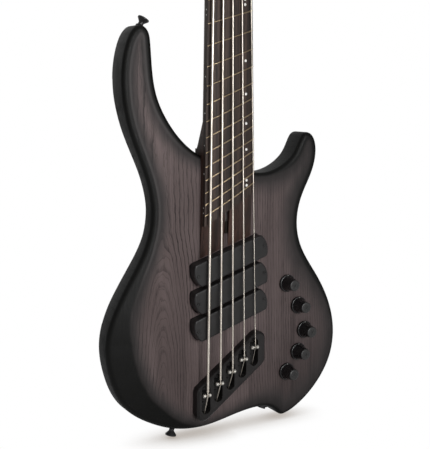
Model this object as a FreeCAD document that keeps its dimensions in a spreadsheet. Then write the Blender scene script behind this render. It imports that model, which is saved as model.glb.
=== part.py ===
import FreeCAD, Part
import math
import os
import re

import Sketcher
from FreeCAD import Placement, Rotation, Vector

# The bass stands upright: +Z runs up the neck, -Y is the front and +X the treble side.
# The origin lies on the flat back, on the string centre line, level with the lowest saddle.

# Driving sizes in millimetres
SIZES = {
    # Strings, numbered from the lowest
    "low_scale": 939.8,
    "high_scale": 863.6,
    "string_spacing": 18.0,
    "nut_spacing": 9.5,
    "string_1_radius": 1.65,
    "string_2_radius": 1.3,
    "string_3_radius": 1.05,
    "string_4_radius": 0.8,
    "string_5_radius": 0.55,
    "taper_start": 6.6,
    "taper_length": 1.6,
    "taper_bulge": 0.3,
    "saddle_rise": 4.6,
    "nut_rise": 0.6,
    "saddle_bend_radius": 4.0,
    "nut_bend_radius": 24.0,
    "wrap_top": 9.5,
    "wrap_gap": 0.45,
    "ball_radius": 2.6,
    "ball_length": 4.5,
    "ball_seat": 5.5,
    # Body
    "body_width": 341.0,
    "body_length": 521.0,
    "body_thickness": 38.0,
    "arm_bevel_width": 38.0,
    "arm_bevel_depth": 8.0,
    "belly_cut_width": 62.0,
    "belly_cut_depth": 13.0,
    # Neck
    "neck_stand": 5.7,
    "pocket_depth": 16.0,
    "tongue_gap": 1.5,
    "heel_top": 316.0,
    "shaft_low": 350.0,
    "shaft_high": 880.0,
    "shaft_low_depth": 15.5,
    "shaft_high_depth": 13.2,
    "shaft_edge": 1.2,
    "heel_corner": 5.0,
    "bolt_inset": 22.0,
    "bolt_low": 222.0,
    "bolt_high": 268.0,
    "bolt_radius": 2.6,
    "bolt_length": 34.0,
    "bolt_head_radius": 4.6,
    "bolt_head_height": 2.6,
    "ferrule_radius": 7.5,
    "ferrule_height": 4.0,
    "rod_channel_width": 6.6,
    "rod_channel_depth": 9.0,
    "rod_radius": 2.4,
    "rod_end": 207.0,
    "rod_top": 890.0,
    "rod_nut_radius": 3.0,
    "rod_nut_length": 16.0,
    "rod_thread_length": 10.0,
    "rod_key_radius": 1.5,
    "rod_key_depth": 5.0,
    # Fingerboard
    "board_nut_width": 45.6,
    "board_heel_width": 73.0,
    "board_thickness": 8.3,
    "board_radius": 305.0,
    "fret_width": 2.4,
    "fret_height": 1.0,
    "fret_tang_width": 0.6,
    "fret_tang_depth": 2.0,
    "fret_inset": 0.4,
    "marker_radius": 1.7,
    "marker_depth": 2.5,
    "marker_pair_gap": 6.4,
    "side_marker_radius": 0.9,
    "side_marker_depth": 2.0,
    "nut_thickness": 5.0,
    "nut_top": 3.4,
    # Headstock
    "head_break": 952.0,
    "head_length": 185.0,
    "head_width": 88.0,
    "head_thickness": 14.0,
    "tuner_first": 45.0,
    "tuner_pitch": 50.0,
    "tuner_stagger": 10.0,
    "post_radius": 5.0,
    "post_waist_radius": 4.5,
    "post_cap_radius": 5.6,
    "post_cap_height": 2.2,
    "post_height": 14.5,
    "bushing_radius": 7.0,
    "bushing_depth": 11.0,
    "flange_radius": 9.2,
    "flange_height": 2.0,
    "gear_radius": 7.2,
    "gear_height": 6.0,
    "worm_radius": 3.2,
    "worm_length": 12.0,
    "housing_width": 22.0,
    "housing_height": 11.0,
    "housing_wall": 2.2,
    "housing_round": 2.0,
    "housing_floor": 1.2,
    "key_shaft_radius": 2.6,
    "key_reach": 24.0,
    "key_collar_radius": 4.2,
    "key_collar_length": 3.0,
    "key_ear_length": 26.0,
    "key_ear_width": 23.0,
    "key_ear_thickness": 8.4,
    "tuner_screw_radius": 1.4,
    "tuner_screw_length": 9.0,
    "tuner_screw_head_radius": 2.6,
    "tuner_screw_head_height": 1.2,
    "tuner_tab_length": 6.5,
    "tuner_tab_thickness": 2.0,
    # Bridge
    "bridge_left": 48.0,
    "bridge_right": 54.0,
    "bridge_above": 16.0,
    "bridge_below": 36.0,
    "bridge_thickness": 13.7,
    "bridge_corner": 10.0,
    "bridge_bevel": 2.6,
    "slot_width": 12.5,
    "slot_above": 12.5,
    "slot_below": 25.5,
    "slot_floor": 2.5,
    "anchor_depth": 5.2,
    "anchor_hole_radius": 1.5,
    "saddle_above": 3.5,
    "saddle_below": 3.5,
    "saddle_sink": 3.0,
    "tower_above": 2.8,
    "tower_below": 1.4,
    "spool_width": 11.4,
    "spool_radius": 2.6,
    "spool_edge": 0.7,
    "spool_neck_radius": 1.3,
    "spool_neck_width": 2.6,
    "spool_flank": 0.9,
    "bridge_screw_place": 15.0,
    "bridge_screw_head_radius": 3.4,
    "bridge_screw_head_height": 1.8,
    "bridge_screw_radius": 1.8,
    "bridge_screw_length": 20.0,
    # Pickups
    "pickup_length": 112.0,
    "pickup_width": 30.0,
    "pickup_bulge": 5.0,
    "pickup_corner": 4.0,
    "pickup_round": 2.0,
    "pickup_rise": 13.7,
    "pickup_seat": 8.0,
    "pickup_wall": 2.0,
    "pickup_travel": 1.0,
    "pickup_first": 172.6,
    "pickup_pitch": 35.8,
    "pickup_offset": 2.5,
    "pickup_screw_inset": 4.6,
    "pickup_screw_radius": 1.3,
    "pickup_screw_length": 30.0,
    "pickup_screw_head_radius": 2.5,
    "pickup_screw_head_height": 1.4,
    "coil_height": 15.0,
    # Controls
    "knob_skirt_radius": 11.7,
    "knob_skirt_height": 4.0,
    "knob_cone_radius": 10.4,
    "knob_top_radius": 7.5,
    "knob_height": 21.0,
    "knob_lift": 0.4,
    "knob_edge": 0.7,
    "knob_dimple_radius": 2.2,
    "knob_dimple_depth": 0.8,
    "knob_hollow_radius": 7.4,
    "knob_hollow_height": 4.2,
    "pot_shaft_radius": 3.0,
    "pot_shaft_top": 16.0,
    "pot_radius": 8.2,
    "pot_depth": 11.0,
    "pot_bush_radius": 4.5,
    "pot_bush_height": 3.2,
    "pot_nut_radius": 6.2,
    "pot_nut_height": 1.8,
    "pot_back": 2.0,
    "cavity_wall": 6.0,
    "cover_lip": 7.0,
    "cover_gap": 0.3,
    "cover_thickness": 2.5,
    "cover_screw_radius": 1.2,
    "cover_screw_length": 12.0,
    "cover_screw_head_radius": 2.4,
    "cover_screw_head_height": 1.2,
    "board_plate_thickness": 1.6,
    "battery_width": 17.5,
    "battery_depth": 26.0,
    "battery_length": 48.5,
    "battery_round": 1.5,
    # Strap buttons and output jack
    "strap_base_radius": 5.0,
    "strap_waist_radius": 3.4,
    "strap_head_radius": 7.3,
    "strap_height": 12.0,
    "strap_base_height": 1.6,
    "strap_rim": 1.4,
    "strap_dish": 2.2,
    "strap_screw_radius": 1.9,
    "strap_screw_head_radius": 3.4,
    "strap_screw_head_height": 1.8,
    "strap_screw_length": 32.0,
    "jack_bore_radius": 3.3,
    "jack_radius": 6.0,
    "jack_length": 40.0,
    "jack_bore_depth": 34.0,
    "jack_stand": 6.0,
    "jack_nut_radius": 8.0,
    "jack_nut_height": 3.0,
    # Room between pieces
    "overrun": 20.0,
    "running_gap": 0.3,
    "string_gap": 0.35,
    "rout_gap": 0.5,
    "shaft_gap": 0.1,
}

# Counts, angles in degrees and ratios
STRING_COUNT = 5
FRET_COUNT = 24
STRAIGHT_FRET = 6
SPAN_COUNT = 3
BOARD_END_FRET = 25
MARKED_FRETS = (3, 5, 7, 9, 12, 15, 17, 19, 21, 24)
PAIRED_FRETS = (12, 24)
PICKUP_COUNT = 3
PICKUP_TILT = 18.0
HEAD_TILT = 9.0
BASS_TUNERS = 3
WRAP_TURNS = (1.25, 1.75, 2.25, 2.75, 3.25)
CORE_SHARE = 0.6
EAR_ROUND_SHARE = 0.4
OCTAVE = 12

# Body outline from the bass side of the neck, up the long horn and round: shares of width and length
OUTLINE_SHARES = (
    (-0.117, 0.597), (-0.158, 0.617), (-0.229, 0.672), (-0.276, 0.737), (-0.292, 0.806), (-0.297, 0.856),
    (-0.303, 0.877), (-0.320, 0.891), (-0.340, 0.894), (-0.364, 0.884), (-0.389, 0.854), (-0.406, 0.806),
    (-0.408, 0.739), (-0.383, 0.653), (-0.331, 0.559), (-0.301, 0.470), (-0.315, 0.399), (-0.370, 0.322),
    (-0.443, 0.234), (-0.480, 0.150), (-0.466, 0.067), (-0.413, -0.010), (-0.308, -0.063),
    (-0.202, -0.089), (-0.088, -0.094), (0.029, -0.081), (0.135, -0.071), (0.205, -0.076),
    (0.233, -0.087), (0.252, -0.099), (0.267, -0.104), (0.284, -0.103), (0.352, -0.083), (0.446, -0.029),
    (0.506, 0.040), (0.520, 0.106), (0.499, 0.177), (0.427, 0.268), (0.350, 0.351), (0.333, 0.411),
    (0.355, 0.477), (0.399, 0.536), (0.418, 0.593), (0.409, 0.622), (0.389, 0.637), (0.363, 0.638),
    (0.342, 0.622), (0.315, 0.589), (0.264, 0.560), (0.182, 0.542), (0.029, 0.562),
)
HORN_BUTTON_INDEX = 7
END_BUTTON_INDEX = 23
JACK_INDEX = 27

# Rounding of the body's edges: shares of its width squared over its length, as the outline's tight bends are
FRONT_ROUND_SHARE = 0.0269
BACK_ROUND_SHARE = 0.0314

# Forearm bevel and belly cut: outline point and the share of the full width and depth there
ARM_BEVEL_SHARES = (
    (15, 0.06), (16, 0.12), (17, 0.24), (18, 0.5), (19, 0.87), (20, 0.98), (21, 1.0), (22, 0.74), (23, 0.4),
    (24, 0.12),
)
BELLY_CUT_SHARES = ((12, 0.08), (13, 0.45), (14, 0.9), (15, 1.0), (16, 0.9), (17, 0.45), (18, 0.08))

# Knob places and the corners of the control cavity: shares of body width and length
KNOB_SHARES = ((0.279, 0.252), (0.334, 0.190), (0.364, 0.122), (0.3345, 0.065), (0.281, 0.0155))
CAVITY_SHARES = (
    (0.240, 0.284), (0.317, 0.284), (0.405, 0.207), (0.428, 0.119), (0.393, 0.038), (0.317, -0.023),
    (0.211, -0.015), (0.205, 0.144),
)

# Circuit board, lower corner and sides, and the battery's lower corner: shares of body width and length
BOARD_PLATE_SHARES = ((0.317, 0.050), (0.0733, 0.148))
BATTERY_SHARES = (0.2126, 0.0422)

# Headstock outline from the bass side of the break: shares of its width and length
HEAD_SHARES = (
    (-0.267, 0.0), (-0.375, 0.065), (-0.477, 0.162), (-0.489, 0.259), (-0.409, 0.459), (-0.318, 0.676),
    (-0.239, 0.854), (-0.102, 0.968), (0.068, 0.989), (0.182, 0.930), (0.273, 0.757), (0.364, 0.541),
    (0.466, 0.335), (0.489, 0.227), (0.398, 0.076), (0.267, 0.0),
)

doc = FreeCAD.newDocument("bass_guitar")
sheet = doc.addObject("Spreadsheet::Sheet", "sizes")
for row, (alias, length) in enumerate(SIZES.items(), start=1):
    sheet.set(f"A{row}", alias)
    sheet.set(f"B{row}", str(length))
    sheet.setAlias(f"B{row}", alias)
doc.recompute()

pieces = []


def size(alias):
    """One driving size, read from the sheet."""
    return float(sheet.get(alias))


def bound(formula):
    """A formula on the sheet's aliases, as another object's expression writes it."""
    return re.sub(r"[a-z]\w*", lambda word: "sizes." + word.group(), formula)


# Levels from back to front, all along -Y
BACK = 0.0
TOP = -size("body_thickness")
NECK_PLANE = TOP - size("neck_stand")
CROWN = NECK_PLANE - size("board_thickness")
PLATE_TOP = TOP - size("bridge_thickness")
POCKET_FLOOR = TOP + size("pocket_depth")
HEEL_DEPTH = POCKET_FLOOR - NECK_PLANE
OVERRUN = size("overrun")
FRONT = Vector(0, -1, 0)
FORWARD = Rotation(Vector(0, 0, 1), FRONT)
BACKWARD = Rotation(Vector(0, 0, 1), Vector(0, 1, 0))

# The headstock's own frame: its top face is the plane y = 0 and z runs up it from the break
HEAD = Placement(Vector(0, NECK_PLANE, size("head_break")), Rotation(Vector(1, 0, 0), -HEAD_TILT))


def keep(feature, label):
    """Names a finished sub-part and lists it for writing."""
    feature.Label = label
    pieces.append(feature)
    return feature


def solid_feature(label, shape):
    """A sub-part whose shape follows a rule that no sketch holds."""
    feature = doc.addObject("Part::Feature", label)
    feature.Shape = shape
    return feature


def polygon_sketch(body, corners):
    """A closed polygon on the body's XZ plane, each corner held by two formulas on the sheet."""
    sketch = body.newObject("Sketcher::SketchObject", body.Name + "_profile")
    plane = next(feature for feature in body.Origin.OriginFeatures if feature.Role == "XZ_Plane")
    sketch.AttachmentSupport = [(plane, "")]
    sketch.MapMode = "FlatFace"
    count = len(corners)
    ring = [Vector(1, 0, 0)]
    for index in range(1, count):
        turn = 2 * math.pi * index / count
        ring.append(Vector(math.cos(turn), math.sin(turn), 0))
    for index in range(count):
        sketch.addGeometry(Part.LineSegment(ring[index], ring[(index + 1) % count]), False)
    for index in range(count):
        sketch.addConstraint(Sketcher.Constraint("Coincident", index, 2, (index + 1) % count, 1))
    for index, corner in enumerate(corners):
        hold_corner(sketch, index, "DistanceX", -2, corner[0], ring[index].x)
        hold_corner(sketch, index, "DistanceY", -1, corner[1], ring[index].y)
    return sketch


def hold_corner(sketch, index, kind, axis, formula, start):
    """Holds one coordinate of a sketch corner on an axis or at a formula."""
    if formula == "0":
        sketch.addConstraint(Sketcher.Constraint("PointOnObject", index, 1, axis))
        return
    place = sketch.addConstraint(Sketcher.Constraint(kind, -1, 1, index, 1, start))
    sketch.setExpression(f"Constraints[{place}]", bound(formula))


def lathe(label, profile):
    """A turned piece about its own Z axis, from (radius, height) formulas."""
    body = doc.addObject("PartDesign::Body", label)
    sketch = polygon_sketch(body, profile)
    turned = body.newObject("PartDesign::Revolution", label + "_turned")
    turned.Profile = sketch
    turned.ReferenceAxis = (sketch, ["V_Axis"])
    turned.Angle = 360
    return body


def block(label, width, depth, height, place):
    """A box with bound sides, its corner at a place."""
    box = doc.addObject("Part::Box", label)
    box.setExpression("Length", bound(width))
    box.setExpression("Width", bound(depth))
    box.setExpression("Height", bound(height))
    box.Placement = Placement(place, Rotation())
    return box


def round_bar(label, radius, height, placement):
    """A cylinder with bound radius and height."""
    bar = doc.addObject("Part::Cylinder", label)
    bar.setExpression("Radius", bound(radius))
    bar.setExpression("Height", bound(height))
    bar.Placement = placement
    return bar


def joined(label, features):
    """Several features as one."""
    fuse = doc.addObject("Part::MultiFuse", label)
    fuse.Shapes = features
    return fuse


def cut(label, base, tools):
    """A base with all its tools cut away."""
    trimmed = doc.addObject("Part::Cut", label)
    trimmed.Base = base
    trimmed.Tool = tools[0] if len(tools) == 1 else joined(label + "_tools", tools)
    return trimmed


def copies(label, master, placements):
    """Separate equal solids in one node."""
    doc.recompute()
    shapes = []
    for placement in placements:
        copy = master.Shape.copy()
        copy.Placement = placement
        shapes.append(copy)
    return keep(solid_feature(label, Part.makeCompound(shapes)), label)


def prism(corners, low, high):
    """A straight-sided solid from (x, z) corners, between two levels of y."""
    points = [Vector(x, low, z) for x, z in corners]
    face = Part.Face(Part.makePolygon(points + points[:1]))
    return face.extrude(Vector(0, high - low, 0))


def bar_between(start, end, radius):
    """A plain round bar from one point to another."""
    return Part.makeCylinder(radius, (end - start).Length, start, end - start)


# Scale, strings and frets


def string_radius(number):
    return size(f"string_{number}_radius")


def string_scale(number):
    across = (number - 1) / (STRING_COUNT - 1)
    return size("low_scale") + (size("high_scale") - size("low_scale")) * across


def string_place(number, fret):
    """A string's (x, z) over a fret; no fret means the saddle."""
    left = 0.0 if fret is None else 2 ** (-fret / OCTAVE)
    straight = 2 ** (-STRAIGHT_FRET / OCTAVE)
    middle = number - (STRING_COUNT + 1) / 2
    x = middle * (size("string_spacing") + (size("nut_spacing") - size("string_spacing")) * left)
    z = size("low_scale") * straight + string_scale(number) * (left - straight)
    return Vector(x, 0, z)


def crown_drop(x):
    """How far the fingerboard's curve has fallen at a distance from its middle."""
    radius = size("board_radius")
    return radius - math.sqrt(radius * radius - x * x)


def saddle_point(number):
    place = string_place(number, None)
    y = CROWN + crown_drop(place.x) - size("saddle_rise") - string_radius(number)
    return Vector(place.x, y, place.z)


def nut_point(number):
    place = string_place(number, 0)
    y = CROWN + crown_drop(place.x) - size("fret_height") - size("nut_rise") - string_radius(number)
    return Vector(place.x, y, place.z)


def board_half_width(z):
    """Half the fingerboard's width at a height."""
    top = string_place(1, 0).z
    heel = string_place(1, FRET_COUNT).z
    nut_half = size("board_nut_width") / 2
    heel_half = size("board_heel_width") / 2
    return nut_half + (heel_half - nut_half) * (top - z) / (top - heel)


def fret_ends(fret, inset):
    """Where a fret's line meets the two edges of the fingerboard, less an inset."""
    low = string_place(1, fret)
    high = string_place(STRING_COUNT, fret)
    way = (high - low).normalize()
    ends = []
    for side, start in ((-1, low), (1, high)):
        point = start
        for _ in range(OCTAVE):
            reach = (side * (board_half_width(point.z) - inset) - point.x) / way.x
            point = point + way * reach
        ends.append(point)
    return ends


# Body


def outline_points():
    width = size("body_width")
    length = size("body_length")
    return [Vector(x * width, BACK, z * length) for x, z in OUTLINE_SHARES]


def outline_curve():
    curve = Part.BSplineCurve()
    curve.interpolate(outline_points(), True)
    return curve


def outline_wire(curve):
    """The outline as a ring of short spans, each between two of its points."""
    marks = [curve.parameter(point) for point in outline_points()[::SPAN_COUNT]]
    marks.append(curve.LastParameter)
    return Part.Wire([curve.toShape(start, end) for start, end in zip(marks, marks[1:])])


def outline_frame(curve, index):
    """An outline point and the way out of the body there."""
    point = outline_points()[index]
    tangent = curve.tangent(curve.parameter(point))[0]
    outward = tangent.cross(Vector(0, 1, 0)).normalize()
    inside = Vector(0, 0, point.z / 2 + size("body_length") / 4)
    if outward.dot(point - inside) < 0:
        outward = outward * -1
    return point, outward


def contour_tool(curve, stations, width, depth, level, way):
    """A wedge along the outline that slopes an edge of the body; way is towards the face's outside."""
    wires = []
    for index, share in stations:
        point, outward = outline_frame(curve, index)
        point.y = level
        slope = depth / width
        inner = point - outward * (width * share + OVERRUN) + Vector(0, way * OVERRUN * slope, 0)
        outer = point + outward * OVERRUN - Vector(0, way * (depth * share + OVERRUN * slope), 0)
        above = point + outward * OVERRUN + Vector(0, way * OVERRUN, 0)
        wires.append(Part.makePolygon([inner, outer, above, inner]))
    return Part.makeLoft(wires, True, False)


def edge_round(share):
    """An edge's radius, which follows the outline's tight bends."""
    return share * size("body_width") ** 2 / size("body_length")


def rounded_blank(curve):
    """The outline as a board with its two edges rounded over and its contours cut."""
    blank = Part.Face(outline_wire(curve)).extrude(Vector(0, TOP, 0))
    front = [edge for edge in blank.Edges if abs(edge.BoundBox.YMax - TOP) < size("shaft_gap")]
    blank = blank.makeFillet(edge_round(FRONT_ROUND_SHARE), front)
    back = [edge for edge in blank.Edges if abs(edge.BoundBox.YMin - BACK) < size("shaft_gap")]
    blank = blank.makeFillet(edge_round(BACK_ROUND_SHARE), back)
    arm = contour_tool(curve, ARM_BEVEL_SHARES, size("arm_bevel_width"), size("arm_bevel_depth"), TOP, -1)
    belly = contour_tool(curve, BELLY_CUT_SHARES, size("belly_cut_width"), size("belly_cut_depth"), BACK, 1)
    return blank.cut(arm).cut(belly)


def heel_corners():
    """The neck tongue and heel seen from the front, from the pickup up to the shaft."""
    ends = []
    tilt = math.radians(PICKUP_TILT)
    away = size("pickup_width") / 2 + size("tongue_gap")
    for side in (-1, 1):
        z = size("pickup_first")
        for _ in range(OCTAVE):
            x = side * board_half_width(z)
            across = x - size("pickup_offset")
            z = size("pickup_first") + (away + across * math.sin(tilt)) / math.cos(tilt)
        ends.append((x, z))
    top = size("heel_top")
    half = board_half_width(top)
    return [ends[0], ends[1], (half, top), (-half, top)]


def knob_place(index):
    x_share, z_share = KNOB_SHARES[index]
    return Vector(x_share * size("body_width"), TOP, z_share * size("body_length"))


def cavity_wire(level, lip):
    """The control cavity's outline at a level, widened by a lip."""
    width = size("body_width")
    length = size("body_length")
    points = [Vector(x * width, level, z * length) for x, z in CAVITY_SHARES]
    wire = Part.makePolygon(points + points[:1])
    return wire.makeOffset2D(lip, 2) if lip else wire


def bolt_places():
    inset = size("bolt_inset")
    return [Vector(x, BACK, size(z)) for x in (-inset, inset) for z in ("bolt_low", "bolt_high")]


def cover_screw_places():
    return [vertex.Point for vertex in cavity_wire(BACK, size("cover_lip") / 2).Vertexes]


def pickup_frame(number):
    """A pickup's own frame: x along it, z across it, y = 0 on the body's face."""
    middle = Vector(size("pickup_offset"), TOP, size("pickup_first") - (number - 1) * size("pickup_pitch"))
    return Placement(middle, Rotation(FRONT, PICKUP_TILT))


def pickup_outline(grow):
    """The long rounded form of a pickup, grown on all sides."""
    half = size("pickup_width") / 2 + grow
    tip = size("pickup_length") / 2 + grow
    shoulder = tip - size("pickup_bulge")
    corners = [Vector(-shoulder, 0, half), Vector(shoulder, 0, half), Vector(shoulder, 0, -half),
               Vector(-shoulder, 0, -half)]
    edges = [
        Part.LineSegment(corners[0], corners[1]).toShape(),
        Part.Arc(corners[1], Vector(tip, 0, 0), corners[2]).toShape(),
        Part.LineSegment(corners[2], corners[3]).toShape(),
        Part.Arc(corners[3], Vector(-tip, 0, 0), corners[0]).toShape(),
    ]
    return Part.Face(Part.Wire(edges))


def pickup_solid(grow, low, high):
    """A pickup's form between two levels, with its upright corners rounded."""
    form = pickup_outline(grow).extrude(Vector(0, high - low, 0))
    form.translate(Vector(0, low, 0))
    upright = [edge for edge in form.Edges if abs(edge.tangentAt(edge.FirstParameter).y) > 0.9]
    return form.makeFillet(size("pickup_corner") + grow, upright)


def pickup_screw_frames(number):
    reach = size("pickup_length") / 2 - size("pickup_screw_inset")
    level = -size("pickup_rise")
    frames = []
    for side in (-1, 1):
        frames.append(pickup_frame(number).multiply(Placement(Vector(side * reach, level, 0), FORWARD)))
    return frames


def body_holes(curve):
    """Every recess and hole in the body."""
    tools = []
    corners = heel_corners()
    top = size("body_length")
    pocket = [corners[0], corners[1], (board_half_width(top), top), (-board_half_width(top), top)]
    tools.append(prism(pocket, POCKET_FLOOR, NECK_PLANE - OVERRUN))
    sink = size("pickup_seat") + size("pickup_travel") + size("rout_gap")
    for number in range(1, PICKUP_COUNT + 1):
        rout = pickup_solid(size("rout_gap"), -OVERRUN, sink)
        tools.append(rout.transformGeometry(pickup_frame(number).toMatrix()))
        for frame in pickup_screw_frames(number):
            depth = size("pickup_screw_length") + size("pickup_travel") + size("rout_gap")
            hole = Part.makeCylinder(size("pickup_screw_radius") + size("running_gap"), depth)
            hole.Placement = frame.multiply(Placement(Vector(0, 0, -depth), Rotation()))
            tools.append(hole)
    cavity = Part.Face(cavity_wire(BACK, 0)).extrude(Vector(0, TOP + size("cavity_wall"), 0))
    lid = Part.Face(cavity_wire(BACK, size("cover_lip"))).extrude(Vector(0, -size("cover_thickness"), 0))
    tools += [cavity, lid]
    for index in range(len(KNOB_SHARES)):
        tools.append(Part.makeCylinder(size("pot_bush_radius"), -TOP, knob_place(index), Vector(0, 1, 0)))
    for place in bolt_places():
        tools.append(Part.makeCylinder(size("ferrule_radius"), size("ferrule_height"), place, FRONT))
        tools.append(Part.makeCylinder(size("bolt_radius"), -TOP, place, FRONT))
    for place in cover_screw_places():
        tools.append(Part.makeCylinder(size("cover_screw_radius"), size("cover_screw_length"), place, FRONT))
    for frame in (strap_frame(curve, HORN_BUTTON_INDEX), strap_frame(curve, END_BUTTON_INDEX)):
        hole = Part.makeCylinder(size("strap_screw_radius"), size("strap_screw_length") + OVERRUN)
        hole.Placement = frame.multiply(Placement(Vector(0, 0, -size("strap_screw_length")), Rotation()))
        tools.append(hole)
    jack = Part.makeCylinder(size("jack_radius"), size("jack_length"))
    jack.Placement = jack_frame(curve)
    seat = Part.makeCylinder(size("jack_nut_radius") + size("running_gap"), size("jack_stand"))
    seat.Placement = jack_frame(curve)
    tools += [jack, seat]
    for number in range(1, STRING_COUNT + 1):
        hole = Part.makeCylinder(size("bridge_screw_radius"), size("bridge_screw_length"))
        hole.Placement = bridge_screw_frame(number, TOP)
        tools.append(hole)
    return tools


def make_body(curve):
    blank = solid_feature("body_blank", rounded_blank(curve))
    holes = [solid_feature(f"body_hole_{index}", shape) for index, shape in enumerate(body_holes(curve), 1)]
    keep(cut("body", blank, holes), "body")


# Strap buttons and output jack


def strap_frame(curve, index):
    """A strap button's frame at mid thickness, z out of the body."""
    point, outward = outline_frame(curve, index)
    point.y = TOP / 2
    return Placement(point, Rotation(Vector(0, 0, 1), outward))


def jack_frame(curve):
    """The jack's frame: z runs into the body from the mouth of its barrel."""
    point, outward = outline_frame(curve, JACK_INDEX)
    point.y = TOP / 2
    mouth = point + outward * size("jack_stand")
    return Placement(mouth, Rotation(Vector(0, 0, 1), outward * -1))


def make_strap_buttons(curve):
    button = lathe("strap_button_pattern", (
        ("strap_screw_radius", "0"),
        ("strap_base_radius", "0"),
        ("strap_base_radius", "strap_base_height"),
        ("strap_waist_radius", "strap_base_height * 2"),
        ("strap_waist_radius", "strap_height / 2"),
        ("strap_head_radius", "strap_height - strap_rim"),
        ("strap_head_radius", "strap_height"),
        ("strap_screw_head_radius", "strap_height - strap_dish"),
        ("strap_screw_radius", "strap_height - strap_dish"),
    ))
    screw = lathe("strap_screw_pattern", (
        ("0", "0 - strap_screw_length"),
        ("strap_screw_radius", "strap_screw_radius - strap_screw_length"),
        ("strap_screw_radius", "strap_height - strap_dish"),
        ("strap_screw_head_radius", "strap_height - strap_dish"),
        ("strap_screw_head_radius * 0.8", "strap_height - strap_dish + strap_screw_head_height"),
        ("0", "strap_height - strap_dish + strap_screw_head_height"),
    ))
    doc.recompute()
    shapes = []
    for index in (HORN_BUTTON_INDEX, END_BUTTON_INDEX):
        for master in (button, screw):
            copy = master.Shape.copy()
            copy.Placement = strap_frame(curve, index)
            shapes.append(copy)
    keep(solid_feature("strap_buttons", Part.makeCompound(shapes)), "strap_buttons")


def make_output_jack(curve):
    jack = lathe("output_jack", (
        ("0", "jack_length"),
        ("jack_radius", "jack_length"),
        ("jack_radius", "jack_stand"),
        ("jack_nut_radius", "jack_stand"),
        ("jack_nut_radius", "jack_stand - jack_nut_height"),
        ("jack_radius", "jack_stand - jack_nut_height"),
        ("jack_radius", "0"),
        ("jack_bore_radius", "0"),
        ("jack_bore_radius", "jack_bore_depth"),
        ("0", "jack_bore_depth"),
    ))
    jack.Placement = jack_frame(curve)
    keep(jack, "output_jack")


# Neck, headstock and fingerboard


def neck_section(z, depth, corner, sink):
    """A closed section of the neck: flat on top, elliptical corners below."""
    half = board_half_width(z)
    low = NECK_PLANE + depth
    right = Vector(half, NECK_PLANE, z)
    left = Vector(-half, NECK_PLANE, z)
    edges = [Part.LineSegment(left, right).toShape()]
    edges.append(Part.LineSegment(right, Vector(half, low - sink, z)).toShape())
    edges.append(ellipse_corner(half - corner, corner, low - sink, sink, z, 1))
    edges.append(Part.LineSegment(Vector(half - corner, low, z), Vector(corner - half, low, z)).toShape())
    edges.append(ellipse_corner(half - corner, corner, low - sink, sink, z, -1))
    edges.append(Part.LineSegment(Vector(-half, low - sink, z), left).toShape())
    return Part.Wire(edges)


def ellipse_corner(middle, across, level, sink, z, side):
    """A quarter of an ellipse as a smooth curve, from the side of the neck to its back."""
    points = []
    steps = 8
    for step in range(steps + 1):
        turn = math.pi / 2 * step / steps
        x = side * (middle + across * math.cos(turn))
        points.append(Vector(x, level + sink * math.sin(turn), z))
    if side < 0:
        points.reverse()
    curve = Part.BSplineCurve()
    curve.interpolate(points)
    return curve.toShape()


def shaft_section(z, depth):
    edge = size("shaft_edge")
    return neck_section(z, depth, board_half_width(z) - edge, depth - edge)


def head_blank():
    """The headstock board in its own frame."""
    width = size("head_width")
    length = size("head_length")
    points = [Vector(x * width, 0, z * length) for x, z in HEAD_SHARES]
    curve = Part.BSplineCurve()
    curve.interpolate(points)
    edges = [curve.toShape(), Part.LineSegment(points[-1], points[0]).toShape()]
    board = Part.Face(Part.Wire(edges)).extrude(Vector(0, size("head_thickness"), 0))
    board.Placement = HEAD
    return board


def neck_blank():
    heel_corner = size("heel_corner")
    top = size("heel_top")
    break_z = size("head_break")
    heel = prism(heel_corners(), POCKET_FLOOR, NECK_PLANE)
    sections = [
        neck_section(top, HEEL_DEPTH, heel_corner, heel_corner),
        shaft_section(size("shaft_low"), size("shaft_low_depth")),
        shaft_section(size("shaft_high"), size("shaft_high_depth")),
        neck_section(break_z + heel_corner, size("head_thickness"), heel_corner, heel_corner),
    ]
    blank = heel
    for low, high in zip(sections, sections[1:]):
        blank = blank.fuse(Part.makeLoft([low, high], True, True))
    blank = blank.fuse(head_blank())
    reach = size("head_length") * 2
    clear = Part.makeBox(reach, OVERRUN, reach, Vector(-reach / 2, -OVERRUN, 0))
    clear.Placement = HEAD
    return blank.cut(clear)


def tongue_ramp():
    """What is cut off the tongue so that it falls from the fingerboard's end to the body's face."""
    board_end = fret_ends(BOARD_END_FRET, 0)
    corners = heel_corners()
    level = TOP - size("rout_gap")
    high = [Vector(side.x, NECK_PLANE, side.z) for side in board_end]
    low = [Vector(x, level, z) for x, z in corners[:2]]
    wires = []
    for upper, lower, side in ((high[0], low[0], -1), (high[1], low[1], 1)):
        away = Vector(side * OVERRUN, 0, 0)
        fall = (lower - upper).normalize()
        end = lower + fall * OVERRUN
        wires.append(Part.makePolygon([
            upper + away, end + away, Vector(end.x, NECK_PLANE - OVERRUN, end.z) + away,
            Vector(upper.x, NECK_PLANE - OVERRUN, upper.z) + away, upper + away,
        ]))
    return Part.makeLoft(wires, True, True)


def rod_channel():
    """The slot under the fingerboard for the truss rod, open at the pickup end."""
    width = size("rod_channel_width")
    low = size("pickup_first")
    length = size("rod_top") + size("running_gap") - low
    corner = Vector(-width / 2, NECK_PLANE - OVERRUN, low)
    return Part.makeBox(width, OVERRUN + size("rod_channel_depth"), length, corner)


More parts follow.
